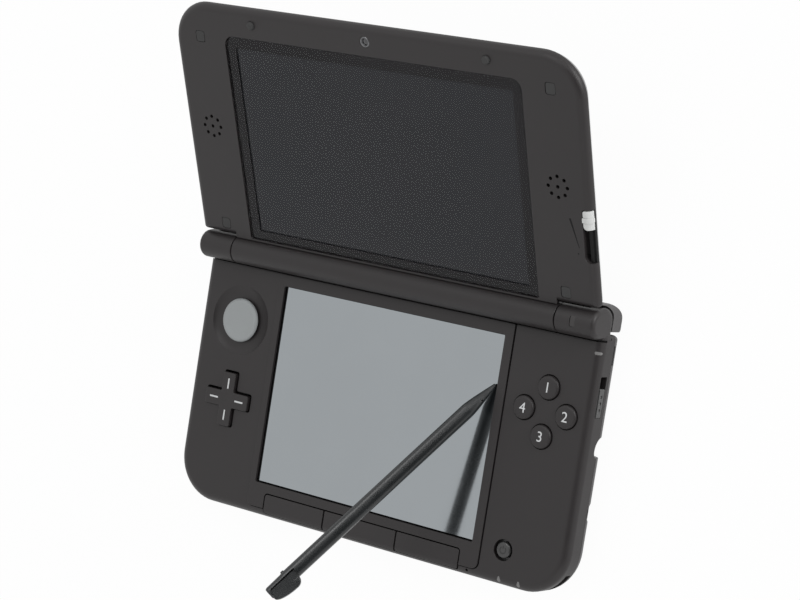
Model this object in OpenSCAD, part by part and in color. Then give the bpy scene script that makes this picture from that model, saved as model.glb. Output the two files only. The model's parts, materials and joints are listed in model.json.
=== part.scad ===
// Clamshell handheld game console, standing open, with its stylus touching the lower screen.
// Origin: centre of the flat underside. +X to the right, +Y towards the hinge, +Z up, millimetres.

/* [Base] */
// Width over the sides
body_w = 156; // [152:1:162]
// Depth from the front edge to the back of the shoulder buttons
body_d = 93; // [91:1:97]
// Height of the base's face above the table
face_z = 12.5; // [12.4:0.1:13.5]
// Radius of the front corners, seen from above
corner_r = 15; // [12:0.5:18]
// Rounding of the face's rim
rim_r = 4; // [3:0.5:4.5]
// Rounding of the underside's rim
belly_r = 5; // [4:0.5:5.5]
// Wall of both base shells
wall = 1.7; // [1.5:0.1:1.9]
// Thickness of the base's face
face_wall = 1.9; // [1.8:0.1:2]
// Height of the seam between the upper and the lower base shell
seam_z = 5; // [4.8:0.1:5.2]
// Rise of the screen surround above the face
surround_rise = 0.3; // [0.2:0.1:0.4]
// Width of the screen surround beside the opening
surround_side = 3.15; // [2.9:0.05:3.4]
// Gap round panels, keys and knobs
fit_gap = 0.25; // [0.2:0.05:0.3]
// Running clearance round a pin or a shaft, on the radius
pin_gap = 0.05; // [0.03:0.01:0.08]

/* [Hinge] */
// Distance from the hinge axis to the very back
hinge_inset = 6.9; // [6.8:0.1:7.2]
// Height of the hinge axis above the face
hinge_rise = 2.58; // [2.5:0.02:2.7]
// Radius of the hinge barrel
barrel_r = 4.63; // [4.4:0.05:4.7]
// Length of each fixed knuckle with its end block
knuckle_len = 14; // [13:0.5:15]
// Length of the end block alone
block_len = 4.6; // [4:0.2:5.5]
// Radius of the hinge shafts
shaft_r = 2; // [1.6:0.1:2.2]
// Radius of the hinge units inside the barrel
unit_r = 3.1; // [2.8:0.1:3.2]
// Length of a hinge unit
unit_len = 14; // [10:1:18]
// Angle between the two halves as they stand
open_angle = 155.35; // [150:0.05:158]

/* [Lid] */
// Thickness of the lid
lid_t = 8; // [7.8:0.1:8.6]
// Gap between the two faces with the lid shut
shut_gap = 1.5; // [1.45:0.05:1.6]
// Distance from the hinge axis to the lid's near edge
lid_heel = 6.35; // [6.3:0.05:6.6]
// Radius of the lid's far corners
lid_corner_r = 14; // [12:0.5:16]
// Rounding of the lid's outer rim
lid_back_r = 6; // [5:0.5:6.2]
// Rounding of the lid's inner rim
lid_rim_r = 2; // [1.6:0.2:2.2]
// Wall of both lid shells
lid_wall = 1.5; // [1.4:0.1:1.6]
// Depth of the lid's inner shell, from its face to the seam
lid_seam = 2.9; // [2.8:0.1:3]
// Width of the lid's border beside the window
window_side = 21.2; // [21:0.1:22]
// Depth of the lid's border beyond the window
window_far = 9.7; // [9.6:0.1:10.2]
// Thickness of the window
window_t = 1; // [0.8:0.1:1]
// Distance from the hinge axis to the window's near edge
window_heel = 5.6; // [5.5:0.05:5.8]
// Height of the rubber pegs at the lid's far edge
peg_h = 0.9; // [0.7:0.05:0.9]

/* [Screens] */
// Width of the window's dark border at each side of the upper picture
upper_side = 3.7; // [3.4:0.1:4.2]
// Depth of that border at the picture's far edge
upper_far = 4.03; // [3.8:0.01:4.4]
// Depth of that border at the picture's near edge
upper_margin = 3.05; // [2.9:0.05:3.2]
// Width of the thumb area beside the lower screen's opening
thumb_area = 34.55; // [34.4:0.05:34.8]
// Distance from the front edge to the lower screen's opening
lower_front = 11.33; // [11.1:0.01:11.6]
// Distance from the opening to the face's back edge
lower_back = 3.88; // [3.7:0.01:4.2]
// Depth of the touch surface below the face
touch_depth = 1.36; // [1.3:0.02:1.4]
// Thickness of the touch panel
touch_t = 0.9; // [0.8:0.1:1]
// Thickness of the lower display module
lower_lcd_t = 1.6; // [1.4:0.1:1.6]
// Thickness of the upper display module
upper_lcd_t = 2.2; // [1.8:0.1:2.4]

/* [Controls] */
// Distance of both thumb clusters from the sides
thumb_x = 17.1; // [16.8:0.1:17.4]
// Circle pad's centre, from the face's back edge
pad_from_back = 18.3; // [18:0.1:18.6]
// Radius of the circle pad's cap
pad_r = 7; // [6.8:0.1:7.1]
// Radius of the dish round the circle pad
dish_r = 10.2; // [10.1:0.1:10.6]
// Depth of the dish
dish_depth = 1.2; // [1.1:0.1:1.3]
// Travel of the circle pad each way
pad_travel = 1.85; // [1.5:0.05:1.85]
// Direction pad's centre, from the front edge, as a share of the face's depth
dpad_share = 0.4424; // [0.438:0.0002:0.446]
// Half the length of the direction pad
dpad_reach = 9.05; // [8.8:0.05:9.2]
// Rise of the direction pad above the face
dpad_rise = 0.9; // [0.8:0.02:0.9]
// Width of a direction pad arm
dpad_arm = 5.2; // [5:0.1:5.4]
// Button cluster's centre, from the face's back edge
cluster_from_back = 24.6; // [24.2:0.1:25]
// Distance of the four buttons from their cluster's centre
cluster_r = 7.7; // [7.6:0.1:8]
// Right-hand cluster's centre, from the side
cluster_x = 16; // [15.6:0.1:16.2]
// Diameter of a round button
button_d = 7.8; // [7.4:0.1:7.9]
// Rise of the buttons above the face
button_rise = 1.2; // [1:0.05:1.2]
// Travel of a button
button_travel = 0.8; // [0.6:0.05:0.8]
// Diameter of the power button
power_d = 5.2; // [4.8:0.1:5.4]
// Distance from the screen surround's edge to the row of three keys
keys_end = 7.2; // [7:0.1:7.6]
// Length of the middle key, as a share of the row
home_share = 0.368; // [0.34:0.004:0.4]
// Depth of the row of keys
keys_d = 6.5; // [6.2:0.1:6.6]
// Inset of the keys' front from the front edge
keys_inset = 1.3; // [1.25:0.05:1.5]
// Travel of a key
key_travel = 0.35; // [0.25:0.05:0.35]

/* [Stylus] */
// Length of the stylus
stylus_len = 95.6; // [90:0.1:96]
// Width of the stylus
stylus_w = 4.7; // [4.3:0.1:4.8]
// Thickness of the stylus
stylus_t = 3.8; // [3.4:0.1:3.8]
// Radius of its tip
tip_r = 0.55; // [0.45:0.05:0.7]
// Tilt of the stylus from upright
stylus_tilt = 60.9; // [58:0.1:62]
// Compass direction in which it leans, from +X
stylus_heading = -118.6; // [-122:0.1:-115]
// Clearance round the stylus in its holder
holder_gap = 0.3; // [0.25:0.05:0.35]

/* [Ports] */
// Width of the game card slot
card_w = 33.6; // [33:0.1:34]
// Height of the game card slot
card_h = 4.4; // [4.3:0.1:4.4]
// Depth of the game card slot
card_depth = 29; // [26:1:30]
// Radius of the headphone socket's hole
jack_r = 1.8; // [1.75:0.05:1.9]
// Depth of the headphone socket's hole
jack_depth = 12; // [10:1:14]
// Width of the memory card slot
memory_w = 24.4; // [24.2:0.1:24.8]

/* [Hidden] */

// Fineness of true curves, and of the children of a hull
curve = 48;
hull_curve = 32;
$fn = curve;
edge_steps = 5;
skin = 0.01;
over = 1;

// Main planes of the base
half_w = body_w / 2;
front_y = -body_d / 2;
back_y = body_d / 2;
surround_z = face_z + surround_rise;
ceiling_z = face_z - face_wall;
cover_t = 0.9;
floor_z = wall;
board_t = 1;
mat_t = 0.25;
flange_t = 0.55;
flange_drop = 0.3;
press_gap = 0.3;
board_top = ceiling_z - flange_drop - flange_t - button_travel - press_gap - mat_t;
board_z = board_top - board_t;
touch_z = face_z - touch_depth;

// Rear of the base: a shelf under the hinge, with the shoulder buttons behind and below its ends
hinge_y = back_y - hinge_inset;
hinge_z = face_z + hinge_rise;
face_back = hinge_y - barrel_r - 0.66;
slab_back = back_y - 9.9;
slab_corner = 1.5;
cavity_step = 0.9;
shelf_top = face_z - 2.9;
shelf_z = face_z - 5.2;
shelf_back = back_y - 3.9;
shelf_skin = 1.3;
housing_x = half_w - 32.6;
block_x = half_w - block_len;
knuckle_x = half_w - knuckle_len;
hinge_gap = 0.3;
barrel_x = knuckle_x - hinge_gap;
foot_y = 3;
block_r = 4.45;
block_end_r = 3;
block_toe_r = 0.8;
block_drop = shelf_z + 0.15;
shoulder_x0 = housing_x + 0.8;
shoulder_wall = 0.85;
shoulder_gap = 0.6;
shoulder_bottom = 1.5;
shoulder_front = slab_back + 0.9;
shoulder_top = face_z + 0.7;
shoulder_pin = [shoulder_x0 + 2.4, back_y - 6];
shoulder_pin_r = 0.8;

// Lid, in its own frame: +Y away from the hinge axis, +Z out of the inner face
lid_tilt = 180 - open_angle;
lid_face = hinge_rise - shut_gap;
lid_back = lid_face - lid_t;
lid_part = lid_face - lid_seam;
lid_far = hinge_y - front_y;
window_w = body_w - 2 * window_side;
window_h = lid_far - window_far - window_heel;
upper_w = window_w - 2 * upper_side;
upper_h = window_h - upper_far - upper_margin;
lid_ceiling = lid_face - lid_wall;
upper_mid = window_heel + upper_margin + upper_h / 2;
neck_x = barrel_x - 0.3;
web_lo = lid_part - 0.4;
web_hi = lid_ceiling;
web_x = knuckle_x - 4;
web_end = lid_heel + 1.35;
far_row = lid_far - 4.98;
peg_x = half_w - 33;
peg_r = 1.35;
bumper_x = half_w - 11;
bumper_rows = [lid_heel + 3.1, lid_far - 11.1];
bumper_size = [3.4, 3.7];
bumper_depth = 0.9;
speaker_at = [half_w - 11.04, lid_far - 42.07];
speaker_ring = 3.37;
speaker_hole_r = 0.5;
speaker_size = [12, 20, 3];
eye_r = 1.75;
outer_eye_x = 17.5;
outer_eye_r = 3;

// Slider on the lid's right edge
slot_x = half_w - 3.2;
slot_rows = [lid_far - 65.6, lid_far - 47.5];
knob_len = 6.6;
knob_proud = 0.15;
rail_x = [half_w - 1.8, half_w - 0.8];
rail_top = lid_face - 1.2;
slot_block = 1.6;
slot_bed = 1.2;

// Lower screen and its surround
lower_w = body_w - 2 * thumb_area;
lower_h = face_back - lower_back - front_y - lower_front;
lower_y = front_y + lower_front + lower_h / 2;
surround_x = lower_w / 2 + surround_side;
keys_x = surround_x - keys_end;
home_x = keys_x * home_share;
surround_front = front_y + 2.8;
surround_back = face_back;
surround_t = 1.1 + surround_rise;
surround_corner = 2.5;
keys_front = front_y + keys_inset;
keys_back = keys_front + keys_d;
key_floor = ceiling_z - 0.8;

// Thumb controls
pad_at = [thumb_x - half_w, face_back - pad_from_back];
dpad_at = [thumb_x - half_w, front_y + dpad_share * (face_back - front_y)];
cluster_at = [half_w - cluster_x, face_back - cluster_from_back];
power_at = [half_w - 23.06, front_y + 11.1];
dish_floor_r = dish_r - 0.9;
neck_r = 2.3;
neck_hole_r = neck_r + pad_travel * sqrt(2) + 0.3;
plate_t = 0.6;
carriage_z = board_top + 0.45;
pad_plate_z = carriage_z + plate_t + 0.05;
cap_z = face_z - 0.6;
cap_top = face_z + 0.5;
flange_z = ceiling_z - flange_drop - flange_t;
button_top = face_z + button_rise;
button_hole_r = button_d / 2 + 0.3;
power_gap = 0.8;
dpad_gap = 0.35;
dpad_top = face_z + dpad_rise;
ball_r = 1.1;
ball_z = board_top + ball_r + 0.02;
dpad_flange = [6, ball_z - 0.2, 0.5];

// Side controls and ports
side_slot_z = face_z - 4.5;
side_slot_h = 3.5;
wireless_rows = [back_y - 35.6, back_y - 22.8];
wireless_knob = 9;
volume_rows = [back_y - 24.5, back_y - 13.5];
volume_knob = 4.6;
tongue_t = 0.8;
tongue_h = 2.75;
card_x = 20 - housing_x;
card_z = 4.5;
case_t = 0.55;
port_at = [housing_x - 31, 4.6];
port_size = [9.4, 3.4];
infra_at = [housing_x - 13, 5];
infra_size = [11, 4.2];
jack_at = [26 - half_w, 6.2];
jack_case_r = 2.9;
memory_y = back_y - 41;
memory_z = 5.9;
memory_stop = 1.4;
memory_h = 2.4;
memory_len = 30;
door_size = [1.4, 27, 4];
door_pin_r = 0.4;
strap_angles = [-30, -62.5];
strap_z = 6.6;
strap_h = 2.6;
holder_y = back_y - 46;
holder_end = 1.8;
holder_z = 4.6;
stylus_foot = [lower_w / 2 - 1.6, lower_y + lower_h / 2 - 16.33, touch_z + 0.05 + tip_r];
stylus_taper = stylus_len * 0.12;
stylus_roll = 75;
mouth_r = 3.4;
tab_len = 10.8;
tab_rise = 2.3;
holder_w = stylus_w + 2 * holder_gap + 0.2;
holder_h = stylus_t + 2 * holder_gap;
cover_rows = [front_y + 5.5, slab_back - 5.6];
cover_half = [half_w - 8, (cover_rows[1] - cover_rows[0]) / 2];
cover_corner = 8;
cover_y = (cover_rows[0] + cover_rows[1]) / 2;
battery_rows = [front_y + 7, holder_y - 4];
battery_y = (battery_rows[0] + battery_rows[1]) / 2;
battery_box = [body_w - 88, battery_rows[1] - battery_rows[0], 5];
screw_r = 0.9;
screw_head_r = 1.7;
boss_r = 3;
case_bosses = [[half_w - 20, back_y - 17.7], [half_w - 14, front_y + 10.5]];
cover_bosses = [half_w - 30, back_y - 20.5];
pad_case = [20, 19];
pad_room = [18, 17.2];
pad_floor = 0.4;

// General shapes
// A slab with round corners and soft rims: the corner radii are those of its front and its back
module soft_slab(x_half, y_lo, y_hi, corners, z_lo, z_hi, r_lo, r_hi) {
  hull()
    for (side = [-1, 1], end = [0, 1], rim = [0, 1], k = [0 : edge_steps]) {
      r = rim == 0 ? r_lo : r_hi;
      inset = r * (1 - cos(90 * k / edge_steps));
      rise = r * sin(90 * k / edge_steps);
      c = max(corners[end] - inset, 0.5);
      x = side * (x_half - inset - c);
      y = end == 0 ? y_lo + inset + c : y_hi - inset - c;
      z = rim == 0 ? z_lo + r - rise : z_hi - r + rise - skin;
      translate([x, y, z]) cylinder(r = c, h = skin, $fn = hull_curve);
    }
}

module box(lo, hi) {
  translate(lo) cube(hi - lo);
}

module plate(size, r, h) {
  linear_extrude(h) offset(r = r, $fn = hull_curve)
    square([size[0] - 2 * r, size[1] - 2 * r], center = true);
}

module along_x(x0, x1, r) {
  translate([x0, 0, 0]) rotate([0, 90, 0]) cylinder(r = r, h = x1 - x0);
}

module lid_place() {
  translate([0, hinge_y, hinge_z]) rotate([lid_tilt, 0, 0]) children();
}

module both_sides() {
  children();
  mirror([1, 0, 0]) children();
}

// Base shells
module base_form() {
  soft_slab(half_w, front_y, slab_back, [corner_r, slab_corner], 0, face_z, belly_r, rim_r);
}

module base_room() {
  soft_slab(half_w - wall, front_y + wall, slab_back - wall - cavity_step, [corner_r - wall, 1], floor_z,
    ceiling_z, belly_r - wall, rim_r - wall);
  box([-housing_x + wall, slab_back - 7, floor_z],
    [housing_x - wall, back_y - wall, shelf_top - shelf_skin]);
}

module rear_housing() {
  soft_slab(housing_x, slab_back - 6, back_y, [1, 1.2], 0, shelf_top, 3, 1);
}

// Clears the base's back end for the hinge, its end blocks and the shelf under them
module hinge_space() {
  box([-body_w, face_back, shelf_top], [body_w, back_y, body_d]);
  box([-block_x, slab_back - 0.5, shelf_z - 0.4], [block_x, back_y, body_d]);
  both_sides() translate([block_x - 0.1, 0, 0]) rotate([90, 0, 90]) linear_extrude(block_len + over)
    polygon([[face_back + 0.3, face_z + over], [slab_back - 0.2, shelf_z - 0.4], [back_y, shelf_z - 0.4],
      [back_y, face_z + over]]);
}

module above(z) {
  intersection() {
    children();
    box([-body_w, -body_d, z], [body_w, body_d, body_d]);
  }
}

module below(z) {
  intersection() {
    children();
    box([-body_w, -body_d, -over], [body_w, body_d, z]);
  }
}

module case_boss_places() {
  both_sides() for (p = case_bosses) translate([p[0], p[1], 0]) children();
}

module cross(reach, arm, h) {
  translate([-reach, -arm / 2, 0]) cube([2 * reach, arm, h]);
  translate([-arm / 2, -reach, 0]) cube([arm, 2 * reach, h]);
}

module button_places() {
  for (turn = [0 : 90 : 270])
    translate([cluster_at[0] + cluster_r * sin(turn), cluster_at[1] + cluster_r * cos(turn), 0]) children();
}

module face_holes() {
  low = ceiling_z - over;
  tall = face_wall + 2 * over;
  box([-lower_w / 2 - 1.8, lower_y - lower_h / 2 - 1.7, low],
    [lower_w / 2 + 1.8, lower_y + lower_h / 2 + 1.7, face_z + over]);
  box([-keys_x - fit_gap, keys_front - fit_gap, key_floor - key_travel - fit_gap],
    [keys_x + fit_gap, keys_back + fit_gap, face_z + over]);
  translate([0, (surround_front + surround_back) / 2 + 5, surround_z - surround_t])
    plate([2 * (surround_x + fit_gap), surround_back - surround_front + 10 + 2 * fit_gap],
      surround_corner, 5);
  translate([pad_at[0], pad_at[1], face_z - dish_depth])
    cylinder(r1 = dish_floor_r, r2 = dish_r + (dish_r - dish_floor_r) * over / dish_depth,
      h = dish_depth + over);
  translate([pad_at[0], pad_at[1], low]) cylinder(r = neck_hole_r, h = tall);
  translate([dpad_at[0], dpad_at[1], low]) cross(dpad_reach + dpad_gap, dpad_arm + 2 * dpad_gap, tall);
  button_places() translate([0, 0, low]) cylinder(r = button_hole_r, h = tall);
  translate([power_at[0], power_at[1], low]) cylinder(r = power_d / 2 + power_gap, h = tall);
}

module side_slot(side, rows, extra) {
  mirror([side < 0 ? 1 : 0, 0, 0])
    box([half_w - 5, rows[0] - extra, side_slot_z - side_slot_h / 2 - extra],
      [half_w + over, rows[1] + extra, side_slot_z + side_slot_h / 2 + extra]);
}

// Openings that cross the seam between the base shells
module rim_holes() {
  box([half_w - 4, holder_y - holder_w / 2, -over],
    [half_w + over, holder_y + holder_w / 2, holder_z + holder_h / 2]);
  translate([0, holder_y + 1.1, mouth_r - 0.8]) along_x(half_w - 4, half_w + over, mouth_r);
  box([card_x - card_w / 2, back_y - 5, card_z - card_h / 2],
    [card_x + card_w / 2, back_y + over, card_z + card_h / 2]);
  box([port_at[0] - port_size[0] / 2, back_y - 5, port_at[1] - port_size[1] / 2],
    [port_at[0] + port_size[0] / 2, back_y + over, port_at[1] + port_size[1] / 2]);
  box([infra_at[0] - infra_size[0] / 2, back_y - 5, infra_at[1] - infra_size[1] / 2],
    [infra_at[0] + infra_size[0] / 2, back_y + over, infra_at[1] + infra_size[1] / 2]);
  translate([jack_at[0], front_y - over, jack_at[1]]) rotate([-90, 0, 0])
    cylinder(r = jack_case_r + pin_gap, h = 6);
  box([-half_w - over, memory_y - door_size[1] / 2 - fit_gap, memory_z - door_size[2] / 2 - fit_gap],
    [-half_w + 4, memory_y + door_size[1] / 2 + fit_gap, memory_z + door_size[2] / 2 + fit_gap]);
  translate([-half_w + door_size[0] / 2, memory_y + door_size[1] / 2 - door_size[0] / 2,
    memory_z - door_size[2] / 2 - over])
    cylinder(r = door_pin_r + pin_gap, h = door_size[2] + 2 * over);
}

module strap_slot() {
  translate([half_w - corner_r, front_y + corner_r, strap_z - strap_h / 2])
    rotate([0, 0, strap_angles[1]]) rotate_extrude(angle = strap_angles[0] - strap_angles[1])
      translate([corner_r - wall, 0]) square([wall + over, strap_h]);
}

module light_pipe_shapes(extra) {
  for (inset = [23.1, 15.8]) translate([half_w - inset, front_y + 1.85, face_z - 2.2])
    cylinder(r = 0.75 + extra, h = 4);
  box([half_w - 2.1 - extra, back_y - 16.1 - extra, face_z - 2.6],
    [half_w + over, back_y - 14.9 + extra, face_z]);
}

module shoulder_pin_holes(r) {
  both_sides() translate([shoulder_pin[0], shoulder_pin[1], shelf_z - over])
    cylinder(r = r, h = over + 1.6);
}

module base_top_shell() {
  color("#3b3937") difference() {
    union() {
      difference() {
        union() {
          above(seam_z) difference() {
            base_form();
            hinge_space();
          }
          above(seam_z) rear_housing();
          box([-block_x, face_back - over, shelf_z], [block_x, shelf_back, shelf_top]);
        }
        base_room();
      }
      case_boss_places() translate([0, 0, seam_z]) cylinder(r = boss_r, h = ceiling_z - seam_z + 0.5);
    }
    case_boss_places() translate([0, 0, seam_z - over]) cylinder(r = screw_r + pin_gap, h = 4.6);
    face_holes();
    rim_holes();
    strap_slot();
    side_slot(1, wireless_rows, 0);
    side_slot(-1, volume_rows, 0);
    light_pipe_shapes(0.05);
    shoulder_pin_holes(shoulder_pin_r + pin_gap);
    translate([half_w - 35.2, front_y + 1.8, ceiling_z - over]) cylinder(r = 0.45, h = 4);
  }
}

module base_bottom_shell() {
  color("#3b3937") difference() {
    union() {
      below(seam_z) difference() {
        union() {
          base_form();
          rear_housing();
        }
        base_room();
      }
      case_boss_places() translate([0, 0, 1]) cylinder(r = boss_r, h = seam_z - 1);
      both_sides() translate([cover_bosses[0], cover_bosses[1], 1]) cylinder(r = boss_r, h = 3);
    }
    translate([0, cover_y, -over]) plate(2 * cover_half, cover_corner, over + cover_t);
    translate([0, battery_y, 0])
      cube([battery_box[0] + 1, battery_box[1] + 1, 2 * floor_z + over], center = true);
    case_boss_places() translate([0, 0, -over]) cylinder(r = screw_r + pin_gap, h = seam_z + 2 * over);
    case_boss_places() translate([0, 0, -over]) cylinder(r = screw_head_r + 0.1, h = over + 2);
    both_sides() translate([cover_bosses[0], cover_bosses[1], -over])
      cylinder(r = screw_r + pin_gap, h = 4);
    rim_holes();
    box([half_w - 1.2, front_y + 24.6, -over], [half_w + over, front_y + 30.6, seam_z - 0.4]);
    box([half_w - 0.7, back_y - 19.2, seam_z - 0.9], [half_w + over, back_y - 13.2, seam_z - 0.2]);
  }
}

module battery_cover() {
  color("#3a3836") difference() {
    translate([0, cover_y, 0])
      plate([2 * cover_half[0] - 0.4, 2 * cover_half[1] - 0.4], cover_corner - 0.2, cover_t);
    both_sides() translate([cover_bosses[0], cover_bosses[1], -over]) {
      cylinder(r = screw_r + pin_gap, h = 3);
      translate([0, 0, over]) cylinder(r = screw_head_r + 0.1, h = 0.45);
    }
  }
}

module screw(head_z, head_h, tip_z) {
  difference() {
    union() {
      translate([0, 0, head_z]) cylinder(r = screw_head_r, h = head_h);
      translate([0, 0, head_z]) cylinder(r = screw_r, h = tip_z - head_z);
    }
    translate([0, 0, head_z - over]) cross(1.1, 0.4, over + head_h * 0.6);
  }
}

module cover_screws() {
  color("#77797b") both_sides() translate([cover_bosses[0], cover_bosses[1], 0]) screw(0.02, 0.42, 2.8);
}

module case_screws() {
  color("#77797b") case_boss_places() screw(cover_t + 0.1, 0.99, seam_z + 3.2);
}

module battery() {
  color("#26282b") translate([0, battery_y, cover_t + 0.05 + battery_box[2] / 2])
    cube(battery_box, center = true);
}

module main_board() {
  color("#23463a") difference() {
    translate([0, (front_y + face_back) / 2 + 0.3, board_z])
      plate([body_w - 9, face_back - front_y - 5], 11, board_t);
    case_boss_places() translate([0, 0, board_z - over]) cylinder(r = boss_r + 0.4, h = 3);
    translate([jack_at[0], front_y, jack_at[1]])
      cube([2 * jack_case_r + 1, 2 * jack_depth + 4, 8], center = true);
  }
}

// Screen surround, touch panel and lower display
module surround_form() {
  soft_slab(half_w, front_y, slab_back, [corner_r, slab_corner], 0, surround_z, belly_r, rim_r);
}

module screen_surround() {
  color("#373534") difference() {
    intersection() {
      surround_form();
      translate([0, (surround_front + surround_back) / 2 + 5, surround_z - surround_t + 0.01])
        plate([2 * surround_x, surround_back - surround_front + 10], surround_corner - fit_gap, surround_t);
    }
    box([-body_w, surround_back, 0], [body_w, body_d, body_d]);
    box([-lower_w / 2, lower_y - lower_h / 2, 0], [lower_w / 2, lower_y + lower_h / 2, body_d]);
    box([-keys_x - fit_gap, -body_d, 0], [keys_x + fit_gap, keys_back + fit_gap, body_d]);
  }
}

module touch_panel() {
  color("#969ea1") translate([0, lower_y, touch_z - touch_t])
    plate([lower_w + 2.8, lower_h + 2.6], 0.6, touch_t);
}

module lower_lcd() {
  color("#55585c") translate([0, lower_y, touch_z - touch_t - 0.05 - lower_lcd_t])
    plate([lower_w + 2.4, lower_h + 2.4], 0.8, lower_lcd_t);
}

// Circle pad: a cap that slides one way on a carriage, which slides the other way in its housing
module circle_pad() {
  color("#949897") translate([pad_at[0], pad_at[1], 0]) {
    translate([0, 0, pad_plate_z]) cylinder(r = pad_r - 0.6, h = plate_t);
    translate([0, 0, pad_plate_z]) cylinder(r = neck_r, h = cap_z - pad_plate_z + 0.2);
    translate([0, 0, cap_z]) rotate_extrude() polygon([
      [0, 0], [pad_r - 0.7, 0], [pad_r, 0.35], [pad_r, cap_top - cap_z - 0.45],
        [pad_r - 0.35, cap_top - cap_z - 0.08],
      [pad_r - 0.9, cap_top - cap_z], [pad_r - 1.6, cap_top - cap_z - 0.12],
        [pad_r / 2, cap_top - cap_z - 0.4],
      [0, cap_top - cap_z - 0.5]
    ]);
  }
}

module pad_carriage() {
  color("#6c6f72") translate([pad_at[0], pad_at[1], carriage_z])
    linear_extrude(plate_t) difference() {
      square([13, 14], center = true);
      square([6, 7], center = true);
    }
}

module pad_housing() {
  color("#2b2c2e") translate([pad_at[0], pad_at[1], board_top]) linear_extrude(pad_floor)
    square(pad_case, center = true);
  color("#2b2c2e") translate([pad_at[0], pad_at[1], board_top + pad_floor])
    linear_extrude(ceiling_z - board_top - pad_floor - 0.05) difference() {
      square(pad_case, center = true);
      square(pad_room, center = true);
    }
}

// Direction pad, rocking on a ball
module dpad() {
  color("#33312f") translate([dpad_at[0], dpad_at[1], 0]) difference() {
    union() {
      translate([0, 0, dpad_flange[1] + 0.3]) cross(dpad_reach, dpad_arm, dpad_top - dpad_flange[1] - 0.3);
      translate([0, 0, dpad_flange[1]]) cylinder(r = dpad_flange[0], h = dpad_flange[2]);
    }
    translate([0, 0, ball_z]) sphere(r = ball_r + pin_gap);
    translate([0, 0, dpad_top + 5.6]) sphere(r = 6);
  }
}

module dpad_ball() {
  color("#8a8d90") translate([dpad_at[0], dpad_at[1], ball_z]) sphere(r = ball_r);
}

module dpad_membrane() {
  color("#7d8184") translate([dpad_at[0], dpad_at[1], board_top]) difference() {
    plate([20, 20], 4, mat_t);
    translate([0, 0, -over]) cylinder(r = 2.2, h = 3);
  }
}

// Four round buttons and the sheet under them
module round_button(turn) {
  translate([cluster_at[0] + cluster_r * sin(turn), cluster_at[1] + cluster_r * cos(turn), flange_z]) {
    cylinder(r = button_d / 2 + 1.1, h = flange_t);
    rotate_extrude() polygon([
      [0, 0], [button_d / 2, 0], [button_d / 2, button_top - flange_z - 0.55],
      [button_d / 2 - 0.16, button_top - flange_z - 0.2],
        [button_d / 2 - 0.55, button_top - flange_z - 0.03],
      [button_d / 2 - 1, button_top - flange_z], [0, button_top - flange_z]
    ]);
  }
}

module button_back() {
  color("#2f302f") round_button(0);
}

module button_right() {
  color("#2f302f") round_button(90);
}

module button_front() {
  color("#2f302f") round_button(180);
}

module button_left() {
  color("#2f302f") round_button(270);
}

module button_membrane() {
  color("#7d8184") translate([cluster_at[0], cluster_at[1], board_top])
    plate([cluster_r * 2 + button_d, cluster_r * 2 + button_d], 5, mat_t);
}

module power_button() {
  color("#2f302f") translate([power_at[0], power_at[1], flange_z]) {
    cylinder(r = power_d / 2 + 1.4, h = flange_t);
    cylinder(r = power_d / 2, h = face_z + 0.1 - flange_z);
  }
}

// Row of three keys in front of the lower screen
module key(x0, x1) {
  intersection() {
    surround_form();
    translate([(x0 + x1) / 2, (keys_front + keys_back) / 2, key_floor])
      plate([x1 - x0, keys_d], 0.6, surround_z - key_floor + over);
  }
}

module left_key() {
  color("#393735") key(-keys_x, -home_x - fit_gap);
}

module home_key() {
  color("#393735") key(-home_x, home_x);
}

module right_key() {
  color("#393735") key(home_x + fit_gap, keys_x);
}

module key_membrane() {
  color("#7d8184") translate([0, (keys_front + keys_back) / 2 + 0.4, board_top])
    plate([2 * keys_x, keys_d - 1.6], 1, key_floor - board_top - key_travel - 0.05);
}

// Fixed ends of the hinge
module hinge_end() {
  difference() {
    union() {
      translate([0, hinge_y, hinge_z]) along_x(knuckle_x, block_x + 0.5, barrel_r);
      box([knuckle_x, hinge_y - foot_y, shelf_top], [block_x + 0.5, hinge_y + foot_y, hinge_z]);
      hull() {
        block_section(block_x, 0);
        for (k = [0 : edge_steps])
          block_section(half_w - block_end_r * (1 - sin(90 * k / edge_steps)) - skin,
            block_end_r * (1 - cos(90 * k / edge_steps)));
      }
    }
    translate([0, hinge_y, hinge_z]) along_x(knuckle_x - over, block_x, shaft_r + pin_gap);
    translate([half_w - 8.5, hinge_y - 1.8, hinge_z + barrel_r - 0.8]) cube([1.8, 3.4, 2]);
  }
}

module block_section(x, inset) {
  translate([0, hinge_y, hinge_z]) along_x(x, x + skin, barrel_r - inset, $fn = hull_curve);
  translate([0, hinge_y + 0.75, block_drop + block_r])
    along_x(x, x + skin, block_r - inset, $fn = hull_curve);
  translate([0, slab_back + 0.15 + block_toe_r + inset, block_drop + block_toe_r + inset])
    along_x(x, x + skin, block_toe_r, $fn = hull_curve);
}

module hinge_end_left() {
  color("#3b3937") mirror([1, 0, 0]) hinge_end();
}

module hinge_end_right() {
  color("#3b3937") hinge_end();
}

// Shoulder buttons, each turning on an upright pin near the middle of the back
module shoulder_outline() {
  big = 5.2;
  small = 4;
  inner_z = shelf_z - shoulder_gap;
  inner_y = back_y - shoulder_wall;
  difference() {
    hull() {
      translate([back_y - big, shoulder_bottom + big]) circle(r = big, $fn = hull_curve);
      translate([back_y - 0.8, shoulder_top - 0.8]) circle(r = 0.8, $fn = hull_curve);
      translate([shoulder_front + 1, shoulder_bottom + 1]) circle(r = 1, $fn = hull_curve);
      translate([shoulder_front, inner_z - 1]) square([1, 1]);
    }
    hull() {
      translate([inner_y - small, inner_z + small]) circle(r = small, $fn = hull_curve);
      translate([inner_y - small, shoulder_top]) square([small, 1]);
      translate([shoulder_front - 1, inner_z]) square([1, 1]);
      translate([shoulder_front - 1, shoulder_top]) square([1, 1]);
    }
    translate([shoulder_front - 2 * big, 0]) square([2 * big, 2 * face_z]);
  }
}

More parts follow.
